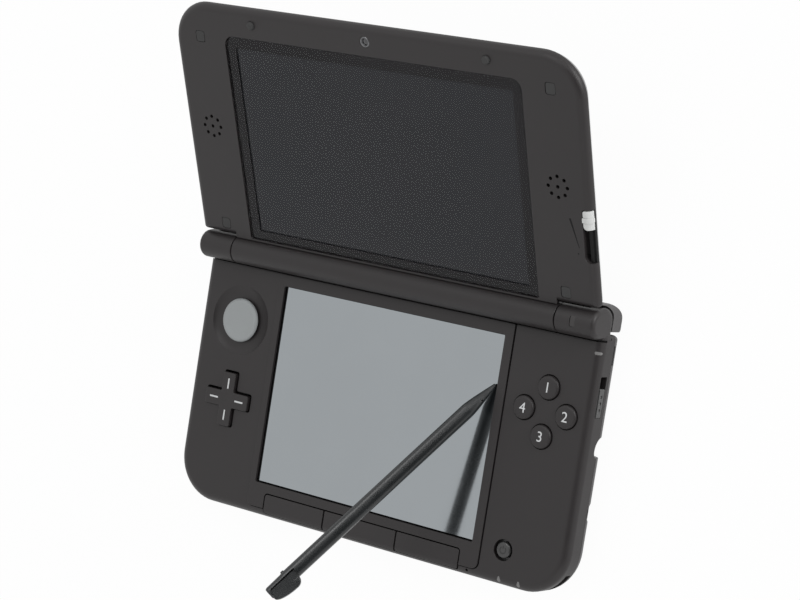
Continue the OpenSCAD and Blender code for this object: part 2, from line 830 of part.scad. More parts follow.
module shoulder() {
  difference() {
    intersection() {
      translate([shoulder_x0, 0, 0]) rotate([90, 0, 90]) linear_extrude(half_w - shoulder_x0 - 0.4)
        shoulder_outline();
      plate([2 * half_w - 0.8, 2 * back_y], 3, body_d);
    }
    translate([shoulder_pin[0], shoulder_pin[1], 0]) cylinder(r = shoulder_pin_r + pin_gap, h = face_z);
  }
}

module shoulder_left() {
  color("#4a4846") mirror([1, 0, 0]) shoulder();
}

module shoulder_right() {
  color("#4a4846") shoulder();
}

module shoulder_pins() {
  color("#9a9da0") both_sides()
    translate([shoulder_pin[0], shoulder_pin[1], shoulder_bottom + 0.6])
      cylinder(r = shoulder_pin_r, h = shelf_z + 0.5 - shoulder_bottom);
}

// Sliding switches in the sides: a knob in the slot, with a wider tongue behind the wall
module side_switch(rows, length) {
  z0 = side_slot_z - side_slot_h / 2;
  inner_x = half_w - wall - 1.2;
  difference() {
    union() {
      box([inner_x, rows[0] + fit_gap, z0 + 0.2],
        [half_w + 0.1, rows[0] + fit_gap + length, z0 + side_slot_h - 0.2]);
      box([inner_x, rows[0] - 1, z0 - 0.2], [inner_x + tongue_t, rows[0] + length + 1, z0 + tongue_h]);
    }
    for (k = [0 : 2]) translate([half_w + 0.25, rows[0] + fit_gap + length / 2 + (k - 1) * length * 0.23,
      side_slot_z])
      sphere(r = 0.45);
  }
}

module wireless_switch() {
  color("#4c4a48") side_switch(wireless_rows, wireless_knob);
}

module volume_slider() {
  color("#4c4a48") mirror([1, 0, 0]) side_switch(volume_rows, volume_knob);
}

// Memory card slot and its flap, which turns on an upright pin at its rear end
module memory_door() {
  color("#3b3937") translate([-half_w, memory_y, memory_z - door_size[2] / 2]) {
    box([0, -door_size[1] / 2, 0], [door_size[0], door_size[1] / 2 - door_size[0] / 2, door_size[2]]);
    translate([door_size[0] / 2, door_size[1] / 2 - door_size[0] / 2, 0]) {
      cylinder(r = door_size[0] / 2, h = door_size[2]);
      translate([0, 0, -0.7]) cylinder(r = door_pin_r, h = door_size[2] + 1.4);
    }
  }
}

module memory_slot() {
  color("#8f9396") difference() {
    box([-half_w + door_size[0] + 0.4, memory_y - memory_w / 2 - case_t, memory_z - memory_h / 2 - case_t],
      [-half_w + door_size[0] + memory_len, memory_y + memory_w / 2 + case_t,
        memory_z + memory_h / 2 + 0.2]);
    box([-half_w, memory_y - memory_w / 2, memory_z - memory_h / 2],
      [-half_w + memory_len + door_size[0] - memory_stop, memory_y + memory_w / 2,
        memory_z + memory_h / 2]);
  }
}

// Sockets in the back and the front
module card_slot() {
  color("#26272a") difference() {
    box([card_x - card_w / 2 - case_t, back_y - wall - card_depth, card_z - card_h / 2 - case_t],
      [card_x + card_w / 2 + case_t, back_y - wall, card_z + card_h / 2 + case_t]);
    box([card_x - card_w / 2, back_y - wall - card_depth + case_t, card_z - card_h / 2],
      [card_x + card_w / 2, back_y + over, card_z + card_h / 2]);
  }
}

module charging_port() {
  color("#26272a") difference() {
    box([port_at[0] - port_size[0] / 2 - case_t, back_y - wall - 9, port_at[1] - port_size[1] / 2 - case_t],
      [port_at[0] + port_size[0] / 2 + case_t, back_y - wall, port_at[1] + port_size[1] / 2 + case_t]);
    box([port_at[0] - port_size[0] / 2, back_y - wall - 8, port_at[1] - port_size[1] / 2],
      [port_at[0] + port_size[0] / 2, back_y + over, port_at[1] + port_size[1] / 2]);
  }
  color("#26272a") box([port_at[0] - 3.4, back_y - wall - 8.1, port_at[1] - 0.5],
    [port_at[0] + 3.4, back_y - wall - 1, port_at[1] + 0.5]);
}

module headphone_jack() {
  color("#1d1e20") translate([jack_at[0], front_y + 0.3, jack_at[1]]) rotate([-90, 0, 0]) difference() {
    cylinder(r = jack_case_r, h = jack_depth + 1);
    translate([0, 0, -over]) cylinder(r = jack_r, h = jack_depth + over);
  }
}

module infrared_window() {
  color("#1a1214") box([infra_at[0] - infra_size[0] / 2 + 0.05, back_y - wall - 0.6,
    infra_at[1] - infra_size[1] / 2 + 0.05],
    [infra_at[0] + infra_size[0] / 2 - 0.05, back_y - 0.2, infra_at[1] + infra_size[1] / 2 - 0.05]);
}

// Light pipes: two at the front, one over the right rim and one on the right knuckle
module light_pipes() {
  color("#8a8987") {
    intersection() {
      base_form();
      light_pipe_shapes(0);
    }
    intersection() {
      translate([half_w - 8.45, hinge_y - 1.75, hinge_z + barrel_r - 0.78]) cube([1.7, 3.3, 2]);
      translate([0, hinge_y, hinge_z]) along_x(knuckle_x, half_w, barrel_r);
    }
  }
}

module stylus_holder() {
  color("#2b2c2e") difference() {
    box([half_w - holder_end - stylus_len, holder_y - holder_w / 2 - case_t,
      holder_z - holder_h / 2 - case_t],
      [half_w - 4, holder_y + holder_w / 2 + case_t, holder_z + holder_h / 2 + case_t]);
    box([half_w - holder_end + 0.8 - stylus_len, holder_y - holder_w / 2, holder_z - holder_h / 2],
      [half_w + over, holder_y + holder_w / 2, holder_z + holder_h / 2]);
  }
}

// Stylus, along its own +Z from the tip, with its thumb tab on its +X side

module stylus() {
  color("#3e4142") translate(stylus_foot) rotate([0, stylus_tilt, stylus_heading])
    rotate([0, 0, stylus_roll]) {
    sphere(r = tip_r);
    intersection() {
      union() {
        cylinder(r1 = tip_r, r2 = stylus_w / 2, h = stylus_taper);
        translate([0, 0, stylus_taper]) cylinder(r = stylus_w / 2, h = stylus_len - stylus_taper - tip_r);
      }
      translate([-stylus_w, -stylus_t / 2, -1]) cube([2 * stylus_w, stylus_t, stylus_len + 2]);
    }
    translate([stylus_w / 2 - 1, 0.7, stylus_len - tip_r - tab_len]) rotate([90, 0, 0]) linear_extrude(1.4)
      intersection() {
        translate([0, tab_len / 2]) scale([1, tab_len / 2 / (tab_rise + 1)]) circle(r = tab_rise + 1);
        square([tab_rise + 2, tab_len]);
      }
  }
}

// Lid shells
module lid_form(inset) {
  soft_slab(half_w - inset, lid_heel + inset, lid_far - inset, [3, lid_corner_r - inset], lid_back + inset,
    lid_face - inset, lid_back_r - inset, max(lid_rim_r - inset, 0.4));
}

module web_space(extra) {
  box([-web_x - extra, 0, web_lo - extra], [web_x + extra, web_end + extra, web_hi]);
}

module speaker_holes() {
  both_sides() translate([speaker_at[0], speaker_at[1], lid_ceiling - over]) {
    cylinder(r = speaker_hole_r, h = 3 * over + lid_wall);
    for (turn = [0 : 45 : 315]) rotate([0, 0, turn]) translate([speaker_ring, 0, 0])
      cylinder(r = speaker_hole_r, h = 3 * over + lid_wall);
  }
}

module bumper_places() {
  both_sides() for (row = bumper_rows) translate([bumper_x, row, 0]) children();
}

module depth_slot() {
  box([slot_x, slot_rows[0], lid_part - over], [half_w + over, slot_rows[1], lid_face + over]);
}

module window_sheet(gap, h) {
  linear_extrude(h) hull() {
    for (side = [-1, 1]) {
      translate([side * (window_w / 2 + gap - 3.7), window_heel + window_h + gap - 3.7])
        circle(r = 3.7, $fn = hull_curve);
      translate([side * (window_w / 2 + gap - 0.8), window_heel - gap + 0.8])
        circle(r = 0.8, $fn = hull_curve);
    }
  }
}

module lid_inner_shell() {
  color("#403f3e") lid_place() difference() {
    union() {
      intersection() {
        difference() {
          lid_form(0);
          lid_form(lid_wall);
        }
        box([-body_w, 0, lid_part], [body_w, 2 * body_d, lid_face + over]);
      }
      box([-neck_x, barrel_r + 0.05, lid_ceiling], [neck_x, lid_heel + 3, lid_face]);
      box([slot_x - slot_block, slot_rows[0] - 3, lid_part],
        [half_w - lid_wall + 0.2, slot_rows[1] + 3, lid_ceiling + 0.2]);
    }
    web_space(0.1);
    translate([0, 0, lid_face - window_t]) window_sheet(0.05, 2);
    translate([0, upper_mid, lid_ceiling - over]) plate([upper_w + 2, upper_h + 1.6], 0.6, 4);
    speaker_holes();
    bumper_places() translate([0, 0, lid_face - bumper_depth]) plate(bumper_size + [0.1, 0.1], 0.8, 2);
    both_sides() translate([peg_x, far_row, lid_ceiling - over]) cylinder(r = peg_r + 0.05, h = 4);
    translate([0, far_row, lid_ceiling - over]) cylinder(r = eye_r + 0.05, h = 4);
    depth_slot();
  }
}

module lid_outer_shell() {
  color("#383635") lid_place() difference() {
    union() {
      intersection() {
        difference() {
          lid_form(0);
          lid_form(lid_wall);
        }
        box([-body_w, 0, lid_back - over], [body_w, 2 * body_d, lid_part]);
      }
      box([slot_x - slot_block, slot_rows[0] - 3, lid_part - slot_bed],
        [half_w - lid_wall + 0.2, slot_rows[1] + 3, lid_part]);
    }
    web_space(0.1);
    both_sides() translate([outer_eye_x, far_row - 2, lid_back - over])
      cylinder(r = outer_eye_r + 0.05, h = 4);
  }
}

// Barrel: the lid's middle knuckle, with a web that runs in between the lid shells
module hinge_barrel() {
  color("#403f3e") lid_place() difference() {
    union() {
      along_x(-barrel_x, barrel_x, barrel_r);
      box([-web_x, 0, web_lo], [web_x, web_end, web_hi - 0.02]);
    }
    along_x(barrel_x - unit_len, barrel_x + over, unit_r + pin_gap);
    along_x(-barrel_x - over, -barrel_x + unit_len, unit_r + pin_gap);
  }
}

module hinge_unit(bore) {
  lid_place() difference() {
    union() {
      along_x(barrel_x - unit_len + 0.1, barrel_x - 0.1, unit_r);
      along_x(barrel_x - 0.2, block_x - 0.3, shaft_r);
    }
    if (bore > 0) along_x(barrel_x - unit_len - over, block_x + over, bore);
  }
}

module hinge_unit_left() {
  color("#9a9da0") mirror([1, 0, 0]) hinge_unit(0);
}

module hinge_unit_right() {
  color("#9a9da0") hinge_unit(1.2);
}

// What the lid holds
module screen_window() {
  color("#2a2829") lid_place() translate([0, 0, lid_face - window_t]) window_sheet(0, window_t);
}

module upper_lcd() {
  color("#38383a") lid_place() {
    translate([0, upper_mid + 1, lid_ceiling - upper_lcd_t])
      plate([upper_w + 5, upper_h + 3.2], 1, upper_lcd_t);
    translate([0, upper_mid, lid_ceiling - 0.1])
      plate([upper_w + 1.8, upper_h + 1.4], 0.6, lid_wall - window_t);
  }
}

module lid_speakers() {
  color("#1d1e20") lid_place() both_sides()
    translate([speaker_at[0] - 0.5, speaker_at[1] + 2, lid_ceiling - 0.05 - speaker_size[2] / 2])
      cube(speaker_size, center = true);
}

module lid_bumpers() {
  color("#343433") lid_place() bumper_places()
    translate([0, 0, lid_face - bumper_depth]) plate(bumper_size, 0.8, bumper_depth + 0.1);
}

module lid_pegs() {
  color("#353433") lid_place() both_sides()
    translate([peg_x, far_row, lid_ceiling]) cylinder(r = peg_r, h = lid_wall + peg_h);
}

module inner_camera() {
  color("#18181a") lid_place() translate([0, far_row, lid_ceiling - 1.9])
    cylinder(r = eye_r, h = lid_wall + 1.9);
}

module outer_cameras() {
  color("#18181a") lid_place() both_sides()
    translate([outer_eye_x, far_row - 2, lid_back + 0.1]) cylinder(r = outer_eye_r, h = lid_wall + 1.6);
}

module camera_board() {
  color("#23463a") lid_place() translate([0, far_row - 1.7, lid_back + 2 * lid_wall + 0.25])
    plate([46, 7.2], 1, 1);
}

// The knob straddles a rail that runs along the slot
module depth_slider() {
  mid = slot_rows[1] - 0.6 - knob_len / 2;
  color("#c4c6c5") lid_place() difference() {
    intersection() {
      lid_form(-knob_proud);
      box([slot_x + fit_gap, mid - knob_len / 2, lid_part + 0.15],
        [body_w, mid + knob_len / 2, lid_face + over]);
    }
    box([rail_x[0] - 0.1, mid - knob_len, lid_part - over],
      [rail_x[1] + 0.1, mid + knob_len, rail_top + 0.1]);
  }
}

module slider_rail() {
  color("#6b6b6a") lid_place()
    box([rail_x[0], slot_rows[0] + 0.05, lid_part + 0.01], [rail_x[1], slot_rows[1] - 0.05, rail_top]);
}

base_top_shell();
base_bottom_shell();
battery_cover();
cover_screws();
case_screws();
battery();
main_board();
screen_surround();
touch_panel();
lower_lcd();
circle_pad();
pad_carriage();
pad_housing();
dpad();
dpad_ball();
dpad_membrane();
button_back();
button_left();
button_right();
button_front();
button_membrane();
power_button();
left_key();
home_key();
right_key();
key_membrane();
hinge_end_left();
hinge_end_right();
shoulder_left();
shoulder_right();
shoulder_pins();
wireless_switch();
volume_slider();
memory_door();
memory_slot();
card_slot();
charging_port();
headphone_jack();
infrared_window();
light_pipes();
stylus_holder();
stylus();
lid_inner_shell();
lid_outer_shell();
hinge_barrel();
hinge_unit_left();
hinge_unit_right();
screen_window();
upper_lcd();
lid_speakers();
lid_bumpers();
lid_pegs();
inner_camera();
outer_cameras();
camera_board();
depth_slider();
slider_rail();
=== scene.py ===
"""A folding handheld game console, standing open, with its stylus resting on the lower screen.

Lengths in this file are millimetres until a mesh is made; the scene itself is in metres.
"""
import json
import logging
import math
from collections.abc import Callable, Sequence
from dataclasses import dataclass
from enum import Enum
from functools import reduce

import bmesh
import bpy
import numpy as np
from mathutils import Matrix

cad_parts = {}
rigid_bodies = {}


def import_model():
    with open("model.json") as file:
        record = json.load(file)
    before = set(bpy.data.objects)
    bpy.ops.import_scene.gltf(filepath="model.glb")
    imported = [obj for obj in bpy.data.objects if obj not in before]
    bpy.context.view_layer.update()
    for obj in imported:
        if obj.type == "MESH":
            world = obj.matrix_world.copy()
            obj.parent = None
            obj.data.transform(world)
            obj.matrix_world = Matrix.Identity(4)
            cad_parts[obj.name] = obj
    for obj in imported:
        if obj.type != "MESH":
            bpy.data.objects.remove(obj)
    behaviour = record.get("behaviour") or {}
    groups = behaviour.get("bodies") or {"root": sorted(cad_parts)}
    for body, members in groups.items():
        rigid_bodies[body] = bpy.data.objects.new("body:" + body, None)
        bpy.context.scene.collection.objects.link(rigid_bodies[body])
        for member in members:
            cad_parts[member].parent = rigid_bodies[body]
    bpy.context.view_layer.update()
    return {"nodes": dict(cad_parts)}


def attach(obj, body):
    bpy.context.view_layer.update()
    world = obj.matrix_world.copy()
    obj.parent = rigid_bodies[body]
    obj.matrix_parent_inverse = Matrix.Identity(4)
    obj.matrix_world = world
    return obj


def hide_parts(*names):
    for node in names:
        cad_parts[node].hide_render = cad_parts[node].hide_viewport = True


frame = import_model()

# Metres in a millimetre
MM = 0.001
# How far a tool runs past what it cuts
OVER = 1.0
# Points round a plain circle, a large one and a small hole
CURVE = 64
LARGE_CURVE = 96
SMALL_CURVE = 24
# Faces with more corners than this are split into triangles before corners are merged
MANY_SIDED = 24
# Metres within which two corners are one
MERGE = 1e-6
# Least radius of a corner or a turned ring, so that every ring keeps all its points
LEAST_CORNER = 0.002
LEAST_TURN = 0.001
# A change of the corners smaller than this, in millimetres, means that a cut did nothing
CUT_NOISE = 1e-4

log = logging.getLogger("console")

Point = tuple[float, float]
Triple = tuple[float, float, float]
Quad = tuple[float, float, float, float]
Profile = list[Point]
Tree = bpy.types.NodeTree
Socket = bpy.types.NodeSocket
Place = Callable[[np.ndarray], np.ndarray]


class Cut(Enum):
    """How one solid is worked into another."""

    MINUS = "DIFFERENCE"
    PLUS = "UNION"
    COMMON = "INTERSECT"


class Side(Enum):
    """Left and right as the player holds the console."""

    LEFT = -1
    RIGHT = 1


# Shapes

@dataclass(frozen=True)
class Outline:
    """A closed outline of corners, anticlockwise, each with its own radius, that can be grown or shrunk."""

    corners: tuple[Point, ...]
    radii: tuple[float, ...]
    steps: int = 8

    @classmethod
    def box(cls, x0: float, x1: float, y0: float, y1: float, *radii: float, steps: int = 8) -> "Outline":
        """A rectangle with the radii of its corners from front left, anticlockwise, or one radius for all."""
        rs = radii if len(radii) == 4 else (radii[0],) * 4
        return cls(((x0, y0), (x1, y0), (x1, y1), (x0, y1)), rs, steps)

    def ring(self, grow: float = 0.0) -> np.ndarray:
        """The outline's points, moved outwards.

        Args:
            grow: Distance outwards, negative for inwards.

        Returns:
            An array of points, as many for every growth.
        """
        points = []
        for i, radius in enumerate(self.radii):
            before, here, after = (np.array(self.corners[(i + k) % len(self.corners)]) for k in (-1, 0, 1))
            d0 = (here - before) / np.linalg.norm(here - before)
            d1 = (after - here) / np.linalg.norm(after - here)
            n0, n1 = np.array([d0[1], -d0[0]]), np.array([d1[1], -d1[0]])
            bend = math.atan2(d0[0] * d1[1] - d0[1] * d1[0], float(d0 @ d1))
            sign = 1.0 if bend > 0 else -1.0
            reach = max(radius, -sign * grow)
            centre = here - sign * (n0 + n1) * reach / (1 + float(n0 @ n1))
            arc = reach + sign * grow
            for k in range(self.steps + 1):
                c, t = math.cos(bend * k / self.steps), math.sin(bend * k / self.steps)
                normal = np.array([n0[0] * c - n0[1] * t, n0[0] * t + n0[1] * c])
                points.append(centre + sign * normal * max(arc, LEAST_CORNER))
        return np.array(points)


@dataclass
class Shape:
    """A closed solid under construction, in millimetres."""

    verts: np.ndarray
    faces: list[tuple[int, ...]]

    def plus(self, *others: "Shape") -> "Shape":
        """This solid beside others that it doesn't touch."""
        verts, faces = [self.verts], list(self.faces)
        shift = len(self.verts)
        for other in others:
            verts.append(other.verts)
            faces += [tuple(i + shift for i in f) for f in other.faces]
            shift += len(other.verts)
        return Shape(np.vstack(verts), faces)

    def placed(self, place: Place) -> "Shape":
        """The solid with every point put through a place."""
        return Shape(place(self.verts), list(self.faces))

    def moved(self, x: float, y: float, z: float = 0.0) -> "Shape":
        """The solid, shifted."""
        return Shape(self.verts + np.array([x, y, z]), list(self.faces))

    def mirrored(self) -> "Shape":
        """The solid's mirror image in the plane x = 0, its faces still outwards."""
        return Shape(self.verts * np.array([-1.0, 1.0, 1.0]), [tuple(reversed(f)) for f in self.faces])

    def on(self, side: Side) -> "Shape":
        """A solid made for the right, on the side asked for."""
        return self if side is Side.RIGHT else self.mirrored()

    def twice(self) -> "Shape":
        """The solid with its mirror image."""
        return self.plus(self.mirrored())

    def mesh(self, name: str) -> bpy.types.Mesh:
        """The solid as a Blender mesh, in metres."""
        mesh = bpy.data.meshes.new(name)
        mesh.from_pydata((self.verts * MM).tolist(), [], self.faces)
        mesh.update()
        return mesh

    @classmethod
    def of(cls, mesh: bpy.types.Mesh) -> "Shape":
        """A Blender mesh, read back."""
        co = np.empty(len(mesh.vertices) * 3, np.float32)
        mesh.vertices.foreach_get("co", co)
        return cls(co.reshape(-1, 3).astype(float) / MM, [tuple(p.vertices) for p in mesh.polygons])

    def worked(self, tool: "Shape", how: Cut) -> "Shape":
        """This solid worked with another.

        Args:
            tool: The other solid, closed.
            how: Taken away, added or kept in common.

        Returns:
            The new solid.
        """
        result = self
        for solver in ("MANIFOLD", "EXACT"):
            body, knife = linked("body", self.mesh("body")), linked("knife", tool.mesh("knife"))
            step = body.modifiers.new("cut", "BOOLEAN")
            step.operation, step.solver, step.object = how.value, solver, knife
            made = evaluated(body)
            result = Shape.of(made)
            discard(body.data, knife.data, made)
            same = len(result.verts) == len(self.verts) and np.allclose(result.verts, self.verts, atol=CUT_NOISE)
            if len(result.verts) and not same:
                return result
        log.warning("a cut changed nothing")
        return result

    def minus(self, *tools: "Shape") -> "Shape":
        """This solid with tools taken away, one after the other."""
        return reduce(lambda solid, tool: solid.worked(tool, Cut.MINUS), tools, self)

    def added(self, *parts: "Shape") -> "Shape":
        """This solid grown together with others that it meets."""
        return reduce(lambda solid, part: solid.worked(part, Cut.PLUS), parts, self)

    def common(self, other: "Shape") -> "Shape":
        """What this solid shares with another."""
        return self.worked(other, Cut.COMMON)


def linked(name: str, data: bpy.types.ID) -> bpy.types.Object:
    """A new object in the scene, at the origin."""
    obj = bpy.data.objects.new(name, data)
    bpy.context.scene.collection.objects.link(obj)
    return obj


def evaluated(obj: bpy.types.Object) -> bpy.types.Mesh:
    """An object's mesh with its modifiers done."""
    return bpy.data.meshes.new_from_object(obj.evaluated_get(bpy.context.evaluated_depsgraph_get()))


def discard(*blocks: bpy.types.ID) -> None:
    """Deletes meshes and curves, with the objects that show them."""
    for obj in [obj for obj in bpy.data.objects if obj.data in blocks]:
        bpy.data.objects.remove(obj)
    for data in blocks:
        (bpy.data.meshes if isinstance(data, bpy.types.Mesh) else bpy.data.curves).remove(data)


def loft(rings: Sequence[np.ndarray]) -> Shape:
    """A solid through rings of equally many points, closed at both ends."""
    n = len(rings[0])
    faces: list[tuple[int, ...]] = [tuple(range(n - 1, -1, -1))]
    for i in range(len(rings) - 1):
        a, b = i * n, (i + 1) * n
        faces += [(a + j, a + (j + 1) % n, b + (j + 1) % n, b + j) for j in range(n)]
    faces.append(tuple(range((len(rings) - 1) * n, len(rings) * n)))
    return Shape(np.vstack(rings), faces)


def prism(outline: Outline, profile: Profile) -> Shape:
    """An outline raised through a profile of (growth, height) steps, lowest first."""
    return loft([np.column_stack([ring := outline.ring(g), np.full(len(ring), z)]) for g, z in profile])


def turned(profile: Profile, steps: int = CURVE) -> Shape:
    """A solid of revolution about +Z through (radius, height) steps, from its bottom to its top."""
    angles = np.arange(steps) * 2 * math.pi / steps
    unit = np.column_stack([np.cos(angles), np.sin(angles)])
    return loft([np.column_stack([unit * max(r, LEAST_TURN), np.full(steps, z)]) for r, z in profile])


def rod(radius: float, z0: float, z1: float, steps: int = CURVE) -> Shape:
    """An upright round rod, used as a tool or as stock."""
    return turned([(radius, z0), (radius, z1)], steps)


def extruded(ring: np.ndarray, z0: float, z1: float) -> Shape:
    """A ring of points in plan, raised from one height to another."""
    return loft([np.column_stack([ring, np.full(len(ring), z)]) for z in (z0, z1)])


def plate(x0: float, x1: float, y0: float, y1: float, radius: float, z0: float, z1: float, steps: int = 8) -> Shape:
    """A plate with straight walls.

    Args:
        x0, x1, y0, y1: Its edges.
        radius: Radius of its four corners.
        z0: Bottom.
        z1: Top.
        steps: Steps round each corner.

    Returns:
        The solid.
    """
    return prism(Outline.box(x0, x1, y0, y1, radius, steps=steps), [(0, z0), (0, z1)])


def block(x0: float, x1: float, y0: float, y1: float, z0: float, z1: float) -> Shape:
    """A plain block, used as a tool or as stock."""
    return plate(x0, x1, y0, y1, 0.0, z0, z1, steps=1)


def quarter(steps: int) -> list[float]:
    """The angles of a quarter turn, in equal steps from nought."""
    return [math.pi / 2 * k / steps for k in range(steps + 1)]


def rounded(z0: float, z1: float, low: float, high: float, steps: int = 8) -> Profile:
    """A profile with rounded rims.

    Args:
        z0: Bottom.
        z1: Top.
        low: Radius of the lower rim.
        high: Radius of the upper rim.
        steps: Steps in each rim.

    Returns:
        The profile, from the bottom up.
    """
    arcs = quarter(steps)
    lower = [(-low * (1 - math.sin(a)), z0 + low * (1 - math.cos(a))) for a in arcs] if low else [(0.0, z0)]
    upper = [(-high * (1 - math.cos(a)), z1 - high * (1 - math.sin(a))) for a in arcs] if high else [(0.0, z1)]
    return lower + upper


def flared(z0: float, z1: float, flare: float, steps: int = 4) -> Profile:
    """The profile of a punch whose hole has a rounded rim at z1."""
    rim = [(flare * (1 - math.cos(a)), z1 - flare + flare * math.sin(a)) for a in quarter(steps)]
    return [(0.0, z0)] + rim + [(flare, z1 + OVER)]


def punch(radius: float, z0: float, z1: float, flare: float, steps: int = CURVE) -> Shape:
    """A round punch whose hole has a rounded rim at z1."""
    return turned([(radius + g, z) for g, z in flared(z0, z1, flare)], steps)


def hull_ring(circles: Sequence[Triple], count: int = LARGE_CURVE) -> np.ndarray:
    """Points round the convex hull of circles.

    Args:
        circles: Each circle's centre and radius.
        count: How many points.

    Returns:
        The points, anticlockwise.
    """
    c = np.array(circles)
    points = []
    for k in range(count):
        a = 2 * math.pi * k / count
        d = np.array([math.cos(a), math.sin(a)])
        best = int(np.argmax(c[:, :2] @ d + c[:, 2]))
        points.append(c[best, :2] + c[best, 2] * d)
    return np.array(points)


def band(centre: Point, outer: float, inner: float, start: float, end: float, steps: int) -> np.ndarray:
    """Points round a curved band.

    Args:
        centre: The centre of its curve.
        outer: Radius of its outer side.
        inner: Radius of its inner side.
        start: Angle where it starts, in radians.
        end: Angle where it ends.
        steps: Points along each side.

    Returns:
        The points, anticlockwise.
    """
    sweep = np.linspace(start, end, steps)
    return np.array([(centre[0] + r * math.cos(a), centre[1] + r * math.sin(a))
                     for r, angles in ((outer, sweep), (inner, sweep[::-1])) for a in angles])


def along_x(points: np.ndarray) -> np.ndarray:
    """A place that stands a solid's height along +X: its X and Y become Y and Z."""
    return points[:, [2, 0, 1]]


def along_y(points: np.ndarray) -> np.ndarray:
    """A place that lays a solid's height along +Y: its Y becomes -Z."""
    return np.column_stack([points[:, 0], points[:, 2], -points[:, 1]])


def along_front(points: np.ndarray) -> np.ndarray:
    """A place that lays a solid's height along -Y: its Y becomes Z."""
    return np.column_stack([points[:, 0], -points[:, 2], points[:, 1]])


# Finishes

def blank(owner: bpy.types.Material | bpy.types.World) -> Tree:
    """The empty node tree of a material or a world."""
    owner.use_nodes = True
    owner.node_tree.nodes.clear()
    return owner.node_tree


def node(tree: Tree, kind: str, inputs: dict[str | int, object] | None = None,
         **settings: object) -> bpy.types.Node:
    """Adds a node to a tree.

    Args:
        tree: The tree.
        kind: The node's type.
        inputs: What goes into its sockets, by name or number: a value, or another node's output to link.
        **settings: Its own settings.

    Returns:
        The node.
    """
    made = tree.nodes.new(kind)
    for name, value in settings.items():
        setattr(made, name, value)
    for key, value in (inputs or {}).items():
        if isinstance(value, Socket):
            tree.links.new(value, made.inputs[key])
        else:
            made.inputs[key].default_value = value
    return made


def maths(tree: Tree, how: str, *values: object, **settings: object) -> Socket:
    """A sum done by a shader node on values and outputs."""
    return node(tree, "ShaderNodeMath", dict(enumerate(values)), operation=how, **settings).outputs[0]


def noise(tree: Tree, coords: Socket, size: float, detail: float) -> Socket:
    """A noise over the piece.

    Args:
        tree: The tree.
        coords: The place that it is asked for.
        size: Size of its largest patches, in millimetres.
        detail: How many finer layers it has.

    Returns:
        The noise, between nought and one.
    """
    given = {"Vector": coords, "Scale": 1.0 / (size * MM), "Detail": detail}
    return node(tree, "ShaderNodeTexNoise", given).outputs["Fac"]


def ranged(tree: Tree, value: Socket, low: float, high: float, start: float = 0.3,
           end: float = 0.7) -> Socket:
    """Stretches a value from one range to another, held at both ends.

    Args:
        tree: The tree.
        value: The value.
        low: What start becomes.
        high: What end becomes.
        start: Where the value's range starts.
        end: Where it ends.

    Returns:
        The new value.
    """
    given = {"Value": value, "From Min": start, "From Max": end, "To Min": low, "To Max": high}
    return node(tree, "ShaderNodeMapRange", given).outputs["Result"]


@dataclass(frozen=True)
class Surface:
    """What all finishes share: a name, and a material that is built once."""

    name: str

    def material(self) -> bpy.types.Material:
        """The finish as a material."""
        mat = bpy.data.materials.get(self.name)
        if not mat:
            mat = bpy.data.materials.new(self.name)
            tree = blank(mat)
            node(tree, "ShaderNodeOutputMaterial", {0: self.shader(tree)})
        return mat

    def shader(self, tree: Tree) -> Socket:
        """Builds the finish's nodes in a tree and gives the output of the last."""
        raise NotImplementedError


@dataclass(frozen=True)
class Finish(Surface):
    """A moulded, painted or metal surface: its colour, its gloss, its grain and its wear. Sizes in millimetres."""

    colour: Triple
    rough: float = 0.45
    grain: float = 0.0
    grain_size: float = 0.3
    mottle: float = 0.08
    smudge: float = 0.08
    specks: float = 0.0
    metal: float = 0.0
    specular: float = 0.5
    coat: float = 0.0
    coat_rough: float = 0.05
    cloud_size: float = 22.0
    touch_size: float = 3.0
    touch_share: float = 0.4
    touch_range: Point = (0.5, 0.9)
    speck_pitch: float = 1.7
    speck_edge: Point = (0.02, 0.07)
    speck_patch: Point = (0.52, 0.62)
    dust: Quad = (0.45, 0.45, 0.44, 1)

    def shader(self, tree: Tree) -> Socket:
        """A principled surface with clouds in its colour, handling marks in its gloss, and the mould's grain."""
        coords = node(tree, "ShaderNodeTexCoord").outputs["Object"]
        cloud, fine = noise(tree, coords, self.cloud_size, 3.0), noise(tree, coords, self.touch_size, 4.0)
        marks = maths(tree, "MULTIPLY_ADD", fine, self.touch_share, cloud)
        low, high = max(self.rough - self.smudge, 0.02), min(self.rough + self.smudge, 1.0)
        given = {"Base Color": self.painted(tree, coords, cloud, fine),
                 "Roughness": ranged(tree, marks, low, high, *self.touch_range),
                 "Metallic": self.metal, "Specular IOR Level": self.specular, "Coat Weight": self.coat,
                 "Coat Roughness": self.coat_rough}
        if self.grain:
            grain = noise(tree, coords, self.grain_size, 2.0)
            bump = {"Strength": 1.0, "Distance": self.grain * MM, "Height": grain}
            given["Normal"] = node(tree, "ShaderNodeBump", bump).outputs[0]
        return node(tree, "ShaderNodeBsdfPrincipled", given).outputs[0]

    def painted(self, tree: Tree, coords: Socket, cloud: Socket,
                fine: Socket) -> Socket:
        """The colour: cloudy variation, and pale specks of dust."""
        dark, light = ((*[min(c * (1 + m), 1) for c in self.colour], 1) for m in (-self.mottle, self.mottle))
        given = {"A": dark, "B": light, "Factor": ranged(tree, cloud, 0.0, 1.0)}
        colour = node(tree, "ShaderNodeMix", given, data_type="RGBA").outputs["Result"]
        if self.specks:
            dots = node(tree, "ShaderNodeTexVoronoi", {"Scale": 1.0 / (self.speck_pitch * MM), "Vector": coords})
            spots = ranged(tree, dots.outputs["Distance"], self.specks, 0.0, *self.speck_edge)
            few = maths(tree, "MULTIPLY", spots, ranged(tree, fine, 0.0, 1.0, *self.speck_patch))
            given = {"A": colour, "B": self.dust, "Factor": few}
            colour = node(tree, "ShaderNodeMix", given, data_type="RGBA").outputs["Result"]
        return colour


